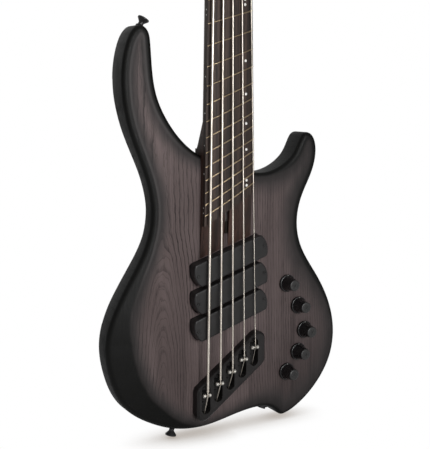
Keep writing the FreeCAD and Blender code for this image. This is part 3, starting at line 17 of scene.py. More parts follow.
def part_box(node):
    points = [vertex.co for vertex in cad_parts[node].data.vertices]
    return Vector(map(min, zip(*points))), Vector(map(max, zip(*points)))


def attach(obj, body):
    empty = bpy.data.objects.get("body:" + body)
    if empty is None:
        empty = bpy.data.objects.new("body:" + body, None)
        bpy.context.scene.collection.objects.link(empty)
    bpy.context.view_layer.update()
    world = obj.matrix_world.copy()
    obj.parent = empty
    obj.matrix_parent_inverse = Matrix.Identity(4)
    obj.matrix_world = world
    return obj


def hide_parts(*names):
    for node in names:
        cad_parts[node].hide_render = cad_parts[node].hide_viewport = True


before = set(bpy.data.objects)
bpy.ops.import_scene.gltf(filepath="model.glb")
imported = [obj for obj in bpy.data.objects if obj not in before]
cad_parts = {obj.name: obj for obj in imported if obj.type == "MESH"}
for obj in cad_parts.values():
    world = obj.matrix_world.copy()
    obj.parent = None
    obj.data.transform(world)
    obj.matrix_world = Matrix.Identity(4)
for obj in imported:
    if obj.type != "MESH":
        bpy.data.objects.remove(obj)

LOG = logging.getLogger("bass")
ROOT = "instrument"
MM = 0.001
WELD = 1e-6
SAME_POINT = 1e-7
STRINGS = range(1, 6)
PICKUPS = range(1, 4)
KNOBS = range(1, 6)
FRONT = Vector((0.0, -1.0, 0.0))


def one_term(kind: str) -> "Callable[[Value], Value]":
    """A method that adds a Math node of one term."""
    return lambda self: self.graph.node("ShaderNodeMath", {"operation": kind}, {0: self})


def two_terms(kind: str, reflected: bool = False) -> "Callable[[Value, Term], Value]":
    """A method that adds a Math node of two terms, in the other order if it is a reflected operator."""

    def method(self: "Value", other: "Term") -> "Value":
        first, second = (other, self) if reflected else (self, other)
        return self.graph.node("ShaderNodeMath", {"operation": kind}, {0: first, 1: second})

    return method


class Value:
    """A node's socket that Python's operators work on."""

    __add__ = two_terms("ADD")
    __radd__ = two_terms("ADD", True)
    __sub__ = two_terms("SUBTRACT")
    __rsub__ = two_terms("SUBTRACT", True)
    __mul__ = two_terms("MULTIPLY")
    __rmul__ = two_terms("MULTIPLY", True)
    __truediv__ = two_terms("DIVIDE")
    __rtruediv__ = two_terms("DIVIDE", True)
    least = two_terms("MINIMUM")
    most = two_terms("MAXIMUM")
    absolute = one_term("ABSOLUTE")
    root = one_term("SQRT")
    part = one_term("FRACT")
    wave = one_term("SINE")

    def __init__(self, graph: "Tree", socket: NodeSocket) -> None:
        """Keeps the socket and the tree that it belongs to."""
        self.graph = graph
        self.socket = socket

    def span(self, low: float, high: float, first: float, last: float, kind: str = "LINEAR") -> "Value":
        """A passage from first at low to last at high."""
        ends = {"From Min": low, "From Max": high, "To Min": first, "To Max": last}
        return self.graph.node("ShaderNodeMapRange", {"interpolation_type": kind}, {"Value": self, **ends})

    def ease(self, low: float, high: float) -> "Value":
        """A smooth step from 0 at low to 1 at high."""
        return self.span(low, high, 0.0, 1.0, "SMOOTHSTEP")


Term = Value | float
Triple = tuple[float, float, float]
Colour = Triple
Flat = tuple[float, float]


def shade(*screen: float) -> Colour:
    """A screen colour of 0 to 255 as linear light."""
    parts = [level / 255 for level in screen]
    return tuple(part / 12.92 if part <= 0.04045 else ((part + 0.055) / 1.055) ** 2.4 for part in parts)


class Tree:
    """A node tree while it is being made."""

    tree: NodeTree

    def node(self, kind: str, settings: dict | None = None, inputs: dict | None = None,
             output: str | None = None) -> Value:
        """Adds a node.

        Args:
            kind: The node's type.
            settings: Properties that are set first.
            inputs: Values, links or lists of links, by a socket's number, identifier or name.
            output: The name of the socket to return; the first one in use if left out.

        Returns:
            The node's output.
        """
        made = self.tree.nodes.new(kind)
        for key, setting in (settings or {}).items():
            setattr(made, key, setting)
        for key, term in (inputs or {}).items():
            socket = made.inputs[key] if isinstance(key, int) else next(
                s for s in made.inputs if s.enabled and key in (s.identifier, s.name))
            for one in term if isinstance(term, list) else [term]:
                if isinstance(one, Value):
                    self.tree.links.new(one.socket, socket)
                else:
                    socket.default_value = (*one[:3], 1.0) if socket.type == "RGBA" else one
        return Value(self, next(s for s in made.outputs if s.enabled and output in (None, s.name)))

    def close(self, kind: str, last: Value) -> None:
        """Links the last socket to the tree's output node."""
        self.tree.links.new(last.socket, self.tree.nodes.new(kind).inputs[0])


class Graph(Tree):
    """The node tree of a material or of the world."""

    def __init__(self, owner: Material | World) -> None:
        """Starts an empty tree."""
        owner.use_nodes = True
        self.owner = owner
        self.tree = owner.node_tree
        self.tree.nodes.clear()

    def axis(self, name: str, space: str = "Object") -> Value:
        """One coordinate, in metres on an object."""
        here = self.node("ShaderNodeTexCoord", output=space)
        return self.node("ShaderNodeSeparateXYZ", inputs={"Vector": here}, output=name)

    def noise(self, scale: Triple, detail: float = 3.0, roughness: float = 0.6, distortion: float = 0.0) -> Value:
        """Noise from 0 to 1 on object coordinates, with its own scale on each axis."""
        here = self.node("ShaderNodeTexCoord", output="Object")
        here = self.node("ShaderNodeMapping", {"vector_type": "POINT"}, {"Vector": here, "Scale": scale})
        return self.node("ShaderNodeTexNoise", None, {
            "Vector": here, "Scale": 1.0, "Detail": detail, "Roughness": roughness, "Distortion": distortion})

    def mix(self, factor: Term, first: "Value | Colour", second: "Value | Colour") -> Value:
        """A colour between two."""
        return self.node("ShaderNodeMix", {"data_type": "RGBA"}, {"Factor": factor, "A": first, "B": second})

    def bump(self, height: Value, distance: float, strength: float) -> Value:
        """A normal from a height, in metres at full height."""
        return self.node("ShaderNodeBump", None, {"Height": height, "Distance": distance, "Strength": strength})

    def surface(self, colour: Value, rough: Value, normal: Value | None = None, **more: float) -> Material:
        """Ends the tree in a principled surface.

        Args:
            colour: Its base colour.
            rough: Its roughness.
            normal: Its normal, where the surface has relief.
            more: Other shader sockets by name, with underscores for spaces.

        Returns:
            The finished material.
        """
        inputs = {"Base Color": colour, "Roughness": rough, **({"Normal": normal} if normal else {})}
        inputs.update({key.replace("_", " "): term for key, term in more.items()})
        self.close("ShaderNodeOutputMaterial", self.node("ShaderNodeBsdfPrincipled", None, inputs))
        return self.owner


@dataclass(frozen=True)
class Finish:
    """A finish that is made once and then shared."""

    name: str

    def material(self) -> Material:
        """The finish's material, made at its first use."""
        title = self.name + "_finish"
        return bpy.data.materials.get(title) or self.make(Graph(bpy.data.materials.new(title)))

    def make(self, graph: Graph) -> Material:
        """Builds the node tree."""
        raise NotImplementedError


@dataclass(frozen=True)
class AshBurst(Finish):
    """Open-grained ash stained grey-brown, sprayed black towards its edges, with a painted highlight along the upper
    crease.

    The mesh carries rim: how far a point lies inside the flat of the face, in metres.
    """

    pale: Colour = shade(109, 96, 95)
    dark: Colour = shade(75, 64, 63)
    line: Colour = shade(27, 22, 21)
    black: Colour = shade(5, 5, 4)
    haze: Colour = shade(44, 41, 41)
    # Painted highlight: a light line just inside the bevel's crease on the upper bass side.
    painted_highlight: Colour = shade(92, 89, 89)
    darker_wood: Colour = shade(36, 30, 30)
    ring: float = 0.004
    fine_rings: float = 2.37
    heart: Flat = (-0.094, 0.006)
    lean: float = 0.14
    arch_end: float = 0.215
    seam: float = -0.038
    seam_half: float = 0.0003
    haze_span: Flat = (0.002, 0.022)
    dark_span: Flat = (-0.003, 0.011)
    edge_span: Flat = (-0.003, 0.0016)

    def rings(self, graph: Graph, beyond: Value) -> Value:
        """Distance from the tree's leaning heart, uneven as growth is.

        Args:
            graph: The material's graph.
            beyond: 1 past the glued seam, where the grain runs straight, and 0 before it, where it arches.

        Returns:
            The distance in metres.
        """
        x, z = graph.axis("X"), graph.axis("Z")
        sway = graph.noise((7.0, 7.0, 2.2), 2.0, 0.5) - 0.5
        jag = graph.noise((55.0, 55.0, 26.0), 3.0, 0.62) - 0.5
        across = x - self.heart[0] + sway * 0.03
        deep = z.least(self.arch_end) * self.lean + self.heart[1] + sway * 0.014
        arches = (across * across + deep * deep).root() + jag * 0.0052
        stripes = x + z * 0.03 + sway * 0.034 + jag * 0.0045
        return arches * (1.0 - beyond) + stripes * beyond

    def wood(self, graph: Graph, early: Value, patch: Value, fibre: Value, pores: Value) -> Value:
        """The stained wood without its burst.

        Args:
            graph: The material's graph.
            early: The porous part of each ring.
            patch: Broad figure.
            fibre: Fine streaks.
            pores: Open pores.

        Returns:
            The colour.
        """
        x, z = graph.axis("X"), graph.axis("Z")
        wood = graph.mix(patch.ease(0.3, 0.72), self.dark, self.pale)
        wood = graph.mix(fibre.ease(0.35, 0.75) * 0.42, wood, self.dark)
        wood = graph.mix((early * 1.35 + pores * early * 0.6).least(1.0), wood, self.line)
        wood = graph.mix(pores * 0.35, wood, self.line)
        seam = 1.0 - (x - self.seam).absolute().ease(0.0002, 0.0007)
        wood = graph.mix(seam * 0.5, wood, self.line)
        # Darker towards the treble side and towards the bottom, and in long dark streaks.
        streak = graph.noise((85.0, 85.0, 2.0)).ease(0.46, 0.68)
        deeper = x.ease(-0.01, 0.14) * 0.5 + (1.0 - z.ease(-0.06, 0.14)) * 0.3 + streak * 0.22
        return graph.mix((deeper + (patch - 0.5) * 0.24).most(0.0).least(1.0), wood, self.darker_wood)

    def burst(self, graph: Graph, wood: Value, patch: Value) -> Value:
        """Sprays the wood black towards its edges, wider or narrower along the outline, and paints a highlight inside
        the crease.

        Args:
            graph: The material's graph.
            wood: The stained wood.
            patch: Broad figure.

        Returns:
            The colour.
        """
        x, z = graph.axis("X"), graph.axis("Z")
        mottle = graph.noise((75.0, 75.0, 22.0))
        upper = z.ease(0.1, 0.2) * (1.0 - x.ease(-0.1, -0.04))
        lower = (1.0 - z.ease(0.02, 0.1)) * (1.0 - x.ease(0.0, 0.06))
        right = x.ease(0.07, 0.11) * z.ease(0.05, 0.15)
        rim = graph.node("ShaderNodeAttribute", {"attribute_name": "rim"}, output="Fac")
        rim = rim - upper * 0.003 + lower * 0.003 - right * 0.004
        fog = rim * (1.0 - x.ease(0.0, 0.08) * 0.35) + (patch - 0.5) * 0.008 + (mottle - 0.5) * 0.01
        wood = graph.mix((1.0 - fog.ease(*self.haze_span)) * 0.9, wood, self.haze)
        wood = graph.mix((1.0 - fog.ease(*self.dark_span)) * 0.55, wood, self.black)
        # Painted highlight: a thin light line just inside the crease on the upper bass side, where the rolled edge
        # would catch the lamp.
        painted_highlight_mask = rim.ease(-0.001, 0.0008) * (1.0 - rim.ease(0.0008, 0.005)) * upper
        wood = graph.mix(painted_highlight_mask * 0.25, wood, self.painted_highlight)
        return graph.mix(1.0 - rim.ease(*self.edge_span), wood, self.black)

    def make(self, graph: Graph) -> Material:
        """Builds the node tree."""
        beyond = graph.axis("X").ease(self.seam - self.seam_half, self.seam + self.seam_half)
        growth = self.rings(graph, beyond) / self.ring
        cycle = growth.part()
        between = (growth * self.fine_rings).part()
        faint = 0.3 + graph.noise((30.0, 30.0, 6.0), 2.0, 0.5).ease(0.32, 0.66) * 0.7
        broken = 0.55 + graph.noise((340.0, 340.0, 45.0), 3.0, 0.62).ease(0.38, 0.6) * 0.45
        early = (1.0 - cycle.ease(0.0, 0.42)) * cycle.ease(0.0, 0.08) * (1.0 - beyond * 0.25) * faint * broken
        early = early.most((1.0 - between.ease(0.0, 0.3)) * between.ease(0.0, 0.06) * broken * 0.4)
        patch = graph.noise((9.0, 9.0, 3.0))
        fibre = graph.noise((420.0, 420.0, 9.0))
        pores = graph.noise((1500.0, 1500.0, 60.0), 2.0, 0.5).ease(0.56, 0.7)
        colour = self.burst(graph, self.wood(graph, early, patch, fibre, pores), patch)
        dust = graph.noise((160.0, 160.0, 160.0))
        rough = 0.5 + early * 0.12 + (dust - 0.5) * 0.08
        grain = early * -0.5 - pores * 0.6 + fibre * 0.25
        return graph.surface(colour, rough, graph.bump(grain, 0.00012, 0.6), Specular_IOR_Level=0.16)


@dataclass(frozen=True)
class LongWood(Finish):
    """A hardwood with its grain along the neck."""

    pale: Colour = shade(66, 45, 37)
    dark: Colour = shade(35, 23, 19)
    pore: Colour = shade(20, 14, 12)
    stripe: float = 90.0
    rough: float = 0.42

    def make(self, graph: Graph) -> Material:
        """Builds the node tree."""
        stripe = graph.noise((self.stripe, self.stripe, 2.4), 4.0, 0.6, 0.3)
        fibre = graph.noise((900.0, 900.0, 16.0))
        pores = graph.noise((1100.0, 1100.0, 38.0), 2.0, 0.5).ease(0.56, 0.66)
        colour = graph.mix(stripe.ease(0.3, 0.7), self.dark, self.pale)
        colour = graph.mix(fibre.ease(0.4, 0.8) * 0.5, colour, self.dark)
        colour = graph.mix(pores * 0.7, colour, self.pore)
        rough = self.rough + (fibre - 0.5) * 0.16
        height = fibre * 0.4 - pores
        return graph.surface(colour, rough, graph.bump(height, 0.00008, 0.6), Specular_IOR_Level=0.24)


@dataclass(frozen=True)
class BlackCoat(Finish):
    """A satin black coat on metal or plastic, faintly uneven, with dust in its grain."""

    tone: Colour = shade(26, 25, 26)
    worn: Colour = shade(46, 45, 46)
    rough: float = 0.4
    grain: float = 1400.0
    relief: float = 0.00003
    gloss: float = 0.4

    def make(self, graph: Graph) -> Material:
        """Builds the node tree."""
        cloud = graph.noise((38.0, 38.0, 38.0), 4.0, 0.6)
        speck = graph.noise((self.grain,) * 3, 2.0, 0.5)
        colour = graph.mix(cloud.ease(0.35, 0.8) * 0.35 + speck.ease(0.5, 0.8) * 0.18, self.tone, self.worn)
        rough = self.rough + (cloud - 0.5) * 0.16 + (speck - 0.5) * 0.1
        return graph.surface(colour, rough, graph.bump(speck, self.relief, 0.5), Specular_IOR_Level=self.gloss)


@dataclass(frozen=True)
class KnobBlack(Finish):
    """Black anodised metal, turned: fine rings, a glossy skirt and a satin end, lightened partly by wear and partly
    by a painted highlight.

    The mesh carries worn: 1 where the coat is lightened, partly as wear and partly as a painted highlight on the
    end's rim, the hollow's edge and the skirt's shoulder.
    """

    tone: Colour = shade(15, 15, 16)
    worn: Colour = shade(40, 39, 38)

    def make(self, graph: Graph) -> Material:
        """Builds the node tree."""
        cloud = graph.noise((260.0, 260.0, 260.0))
        lathe = graph.noise((30.0, 5200.0, 30.0), 2.0, 0.6)
        worn = graph.node("ShaderNodeAttribute", {"attribute_name": "worn"}, output="Fac")
        # Lightens where worn is set: partly wear, partly a painted highlight.
        colour = graph.mix(worn * (0.7 + cloud * 0.3), self.tone, self.worn)
        rough = 0.24 + worn * 0.2 + (lathe - 0.5) * 0.14
        return graph.surface(colour, rough, graph.bump(lathe, 0.00002, 0.4), Specular_IOR_Level=0.5)


@dataclass(frozen=True)
class WarmSteel(Finish):
    """Bare or plated metal, a little tarnished; a winding shows as fine ridges across the string."""

    tone: Colour = shade(206, 196, 182)
    dull: Colour = shade(150, 138, 124)
    rough: float = 0.3
    winding: float = 0.0

    def make(self, graph: Graph) -> Material:
        """Builds the node tree."""
        cloud = graph.noise((70.0, 70.0, 22.0), 4.0, 0.65)
        scratch = graph.noise((1300.0, 1300.0, 200.0), 2.0, 0.6)
        colour = graph.mix(cloud.ease(0.35, 0.75), self.tone, self.dull)
        rough = self.rough + (cloud - 0.5) * 0.2 + (scratch - 0.5) * 0.12
        height = scratch
        if self.winding:
            height = (graph.axis("Z") * (2 * math.pi / self.winding)).wave() * 0.5 + scratch * 0.2
        return graph.surface(colour, rough, graph.bump(height, 0.00003, 0.4), Metallic=1.0)


@dataclass(frozen=True)
class Pearl(Finish):
    """Pale shell with clouded bands."""

    tone: Colour = shade(226, 224, 219)
    cloud: Colour = shade(186, 186, 184)

    def make(self, graph: Graph) -> Material:
        """Builds the node tree."""
        bands = graph.noise((900.0, 900.0, 500.0), 3.0, 0.6, 1.2)
        colour = graph.mix(bands.ease(0.35, 0.7), self.tone, self.cloud)
        return graph.surface(colour, 0.2 + bands * 0.15)


@dataclass(frozen=True)
class Speckled(Finish):
    """A plain inner finish with soft cloud and fine grain."""

    tone: Colour
    other: Colour
    rough: float
    metallic: float = 0.0

    def make(self, graph: Graph) -> Material:
        """Builds the node tree."""
        cloud = graph.noise((90.0, 90.0, 90.0), 4.0, 0.6)
        grain = graph.noise((1500.0, 1500.0, 1500.0), 2.0, 0.5)
        colour = graph.mix(cloud.ease(0.3, 0.75), self.tone, self.other)
        rough = self.rough + (grain - 0.5) * 0.2
        return graph.surface(colour, rough, graph.bump(grain, 0.00003, 0.4), Metallic=self.metallic)


class Finishes(Enum):
    """Every finish on the instrument."""

    ASH = AshBurst("ash_burst")
    NECK = LongWood("neck_hardwood")
    BOARD = LongWood("fingerboard_hardwood", shade(67, 53, 46), shade(29, 21, 18), shade(12, 9, 8), 230.0, rough=0.55)
    HARDWARE = BlackCoat("black_plating")
    BRIDGE = BlackCoat("bridge_black", shade(22, 20, 20), shade(38, 35, 34), rough=0.42, gloss=0.28)
    SADDLE = BlackCoat("saddle_black", shade(14, 14, 14), shade(34, 33, 32), rough=0.34, gloss=0.3)
    PICKUP = BlackCoat("pickup_plastic", shade(30, 29, 29), shade(43, 42, 42), 0.32, 2200.0, 0.00004, gloss=0.3)
    COVER = BlackCoat("cover_plastic", shade(17, 17, 17), shade(29, 29, 29), 0.5, 1500.0, 0.00012, gloss=0.3)
    SCREW = BlackCoat("screw_black", shade(16, 16, 16), shade(52, 50, 48), 0.32)
    NUT = BlackCoat("nut_composite", shade(22, 21, 21), shade(40, 39, 38), 0.4)
    KNOB = KnobBlack("knob_anodised")
    FRET = WarmSteel("fret_wire", shade(188, 168, 138), shade(150, 132, 104), 0.32)
    WOUND = WarmSteel("string_winding", shade(222, 214, 203), shade(188, 179, 167), 0.38, winding=0.00045)
    SPOOL = WarmSteel("spool_plating", shade(230, 227, 220), shade(196, 192, 184), 0.34)
    STEEL = WarmSteel("rod_steel", shade(74, 71, 68), shade(52, 50, 48), 0.4)
    # The rod nut's tone is darkened well below its own metal: partly dark metal, partly painted shade of the slot it
    # sits in.
    ROD_NUT_IN_SHADE = WarmSteel("rod_nut_in_shade", shade(40, 36, 32), shade(28, 25, 22), 0.4)
    PEARL = Pearl("marker_pearl")
    DOT = BlackCoat("knob_dot", shade(120, 118, 114), shade(92, 90, 88), 0.4)
    ZINC = Speckled("pot_zinc", shade(150, 150, 146), shade(120, 120, 116), 0.35, metallic=1.0)
    LAMINATE = Speckled("circuit_laminate", shade(24, 74, 50), shade(16, 54, 38), 0.4)
    CELL = Speckled("battery_case", shade(60, 62, 66), shade(44, 46, 50), 0.35)
    COIL = Speckled("coil_potting", shade(34, 28, 28), shade(24, 20, 20), 0.5)

    def material(self) -> Material:
        """The finish's material."""
        return self.value.material()


def placed(name: str, data: ID) -> Object:
    """A new object in the scene."""
    made = bpy.data.objects.new(name, data)
    bpy.context.scene.collection.objects.link(made)
    return made


def piece(name: str, mesh: Mesh, finish: Finishes, body: str, nodes: Sequence[str] = ()) -> None:
    """Adds a mesh to the scene as a piece that rides on a body.

    Args:
        name: The piece's name.
        mesh: Its mesh, in the instrument's frame.
        finish: Its finish.
        body: The body that it moves with.
        nodes: The CAD nodes that it stands for.
    """
    made = placed(name, mesh)
    mesh.materials.clear()
    mesh.materials.append(finish.material())
    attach(made, body)
    if nodes:
        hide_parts(*nodes)
    LOG.info("%s: %d faces", name, len(mesh.polygons))


def shade_smooth(mesh: Mesh, angle: float) -> None:
    """Smooth shading with edges kept sharp past an angle in degrees."""
    mesh.shade_smooth()
    mesh.set_sharp_from_angle(angle=math.radians(angle))


def around(loop: Sequence) -> zip:
    """The pairs of neighbours round a closed loop."""
    return zip(loop, [*loop[1:], loop[0]])


def band(shell: BMesh, one: Sequence[BMVert], two: Sequence[BMVert]) -> None:
    """Joins two closed rings of vertices with four-sided faces."""
    for (first, second), (third, fourth) in zip(around(one), around(two)):
        shell.faces.new((first, second, fourth, third))


def mesh_of(shell: BMesh, name: str, angle: float) -> Mesh:
    """Turns a closed shell into a mesh, smooth up to an angle in degrees."""
    bmesh.ops.recalc_face_normals(shell, faces=shell.faces)
    mesh = bpy.data.meshes.new(name)
    shell.to_mesh(mesh)
    shell.free()
    shade_smooth(mesh, angle)
    return mesh


def settle(holder: Object, name: str) -> Mesh:
    """Turns an object with modifiers into a plain mesh and removes the object."""
    depsgraph = bpy.context.evaluated_depsgraph_get()
    mesh = bpy.data.meshes.new_from_object(holder.evaluated_get(depsgraph), depsgraph=depsgraph)
    mesh.name = name
    bpy.data.objects.remove(holder)
    return mesh


def welded(node: str) -> Mesh:
    """A copy of a CAD node's mesh with its loose triangles joined."""
    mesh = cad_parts[node].data.copy()
    shell = bmesh.new()
    shell.from_mesh(mesh)
    bmesh.ops.remove_doubles(shell, verts=shell.verts, dist=WELD)
    shell.to_mesh(mesh)
    shell.free()
    for layer in list(mesh.attributes):
        if layer.name == "custom_normal":
            mesh.attributes.remove(layer)
    return mesh


def carry_over(node: str, finish: Finishes, body: str = ROOT, angle: float = 32.0) -> None:
    """Shows a CAD node through a welded, smooth copy whose flats stay flat beside their rounded edges.

    Args:
        node: The CAD node.
        finish: The finish it gets.
        body: The body that the node belongs to.
        angle: Edges that turn more than this stay sharp, in degrees.
    """
    mesh = welded(node)
    shade_smooth(mesh, angle)
    holder = placed(node + "_smooth", mesh)
    weigh = holder.modifiers.new("weigh", "WEIGHTED_NORMAL")
    weigh.keep_sharp = True
    weigh.weight = 80
    piece(node + "_skin", settle(holder, node + "_smooth"), finish, body, [node])


@dataclass(frozen=True)
class Lamp:
    """A square soft lamp, with sizes in metres and power in watts."""

    name: str
    place: Triple
    target: Triple
    size: float
    power: float
    mirrored: bool = True

    def build(self) -> None:
        """Hangs the lamp facing its target; glossy finishes mirror it only if it is mirrored."""
        data = bpy.data.lights.new(self.name, "AREA")
        data.size = self.size
        data.energy = self.power
        lamp = placed(self.name, data)
        lamp.visible_glossy = self.mirrored
        way = Vector(self.target) - Vector(self.place)
        lamp.matrix_world = Matrix.Translation(self.place) @ way.to_track_quat("-Z", "Y").to_matrix().to_4x4()


@dataclass
class Studio:
    """Camera, light and floor."""

    eye: Vector = field(default_factory=lambda: Vector((-0.568806, -1.031895, 0.391339)))
    azimuth: float = -29.118
    elevation: float = 8.603
    roll: float = -0.044
    lens: float = 72.27
    sensor: float = 36.0
    floor_level: float = -0.0618
    floor_reach: float = 6.0
    backdrop: Flat = (0.55, 0.95)
    dim: float = 0.16
    lamps: tuple[Lamp, ...] = (
        Lamp("key", (0.1, -2.35, 0.6), (0.0, 0.0, 0.2), 0.9, 44.0),
        Lamp("fill", (-1.5, -1.9, 0.9), (-0.05, 0.0, 0.15), 1.2, 7.0),
        Lamp("side", (-1.6, 0.9, 1.6), (0.0, 0.0, 0.3), 1.0, 3.0),
        Lamp("rear", (0.5, 2.3, 1.0), (0.0, 0.0, 0.3), 1.2, 40.0, False),
    )

    def build(self) -> None:
        """Makes everything that isn't part of the instrument."""
        scene = bpy.context.scene
        scene.view_settings.view_transform = "Standard"
        self.add_camera(scene)
        self.add_world(scene)
        for lamp in self.lamps:
            lamp.build()
        self.add_floor()

    def add_camera(self, scene: Scene) -> None:
        """Puts the camera where the photograph was taken."""
        turn, rise = math.radians(self.azimuth), math.radians(self.elevation)
        back = Vector((math.sin(turn) * math.cos(rise), -math.cos(turn) * math.cos(rise), math.sin(rise)))
        data = bpy.data.cameras.new("camera")
        data.sensor_width = self.sensor
        data.lens = self.lens
        data.clip_start = 0.05
        camera = placed("camera", data)
        aim = (-back).to_track_quat("-Z", "Y").to_matrix().to_4x4()
        camera.matrix_world = Matrix.Translation(self.eye) @ aim @ Matrix.Rotation(math.radians(self.roll), 4, "Z")
        scene.camera = camera

    def add_world(self, scene: Scene) -> None:
        """A white backdrop for the eye and for reflections from behind and above, dim light for the rest."""
        scene.world = bpy.data.worlds.new("world")
        graph = Graph(scene.world)
        behind, above = (graph.axis(axis, "Generated").span(*self.backdrop, 0.0, full)
                         for axis, full in (("Y", 1.0), ("Z", 0.5)))
        white = behind.most(above)
        camera, glossy, clear = (graph.node("ShaderNodeLightPath", output=f"Is {ray} Ray")
                                 for ray in ("Camera", "Glossy", "Transmission"))
        seen = (glossy * white).most(clear * white).most(camera).span(0.0, 1.0, self.dim, 1.0)
        sky = graph.node("ShaderNodeBackground", None, {"Color": (1.0, 1.0, 1.0), "Strength": seen})
        graph.close("ShaderNodeOutputWorld", sky)

    def add_floor(self) -> None:
        """A white floor: the camera sees it glowing white with a painted soft shadow, darkened by ambient occlusion
        near the instrument; other rays see plain diffuse paint.
        """
        graph = Graph(bpy.data.materials.new("studio_floor"))
        near = graph.node("ShaderNodeAmbientOcclusion", {"samples": 16}, {"Distance": 0.05}, "AO")
        # Painted shadow: the glowing white turns warm grey where ambient occlusion finds the instrument close.
        painted_shadow_tint = graph.mix(near.ease(0.1, 0.9), shade(176, 168, 160), (1.0, 1.0, 1.0))
        glow = graph.node("ShaderNodeEmission", None, {"Color": painted_shadow_tint, "Strength": 1.0})
        paint = graph.node("ShaderNodeBsdfDiffuse", None, {"Color": (0.85, 0.85, 0.85)})
        path = graph.node("ShaderNodeLightPath", output="Is Camera Ray")
        shader = graph.node("ShaderNodeMixShader", None, {0: path, 1: paint, 2: glow})
        graph.close("ShaderNodeOutputMaterial", shader)
        reach = self.floor_reach
        mesh = bpy.data.meshes.new("floor")
        corners = [(-reach, -reach), (reach, -reach), (reach, reach), (-reach, reach)]
        mesh.from_pydata([(x, y, self.floor_level) for x, y in corners], [], [(0, 1, 2, 3)])
        mesh.materials.append(graph.owner)
        floor = placed("floor", mesh)


@dataclass(frozen=True)
class Face:
    """One face of the body: its flat, its rolled edge and the slope cut into it along part of the outline.

    Shares give the slope's width at point numbers of the outline, and recess the way to an opening's floor.
    """

    side: int
    flat: float
    radius: float
    width: float
    depth: float
    crease: float
    recess: float
    shares: tuple[Flat, ...]
    black_share: float = 0.9

    def reach(self, mark: float) -> float:
        """The slope's width at a point number of the outline."""
        return self.width * float(np.interp(mark, *zip(*self.shares)))

    def level(self, away: float, mark: float) -> Flat:
        """The face at a distance in from the outline.

        Args:
            away: The distance.
            mark: The outline's point number.

        Returns:
            The y of the face and how far the point lies inside the face's flat.
        """
        reach = self.reach(mark)
        inside = reach - away
        fall = 0.0
        if reach > 0.0 and inside > -self.crease:
            fall = inside if inside > self.crease else (inside + self.crease) ** 2 / (4 * self.crease)
        drop = fall * self.depth / self.width
        if away < self.radius:
            drop += self.radius - math.sqrt(max(0.0, self.radius ** 2 - (self.radius - away) ** 2))
        edge = max(reach, self.radius * self.black_share) if self.side < 0 else self.radius
        return self.flat - self.side * drop, away - edge


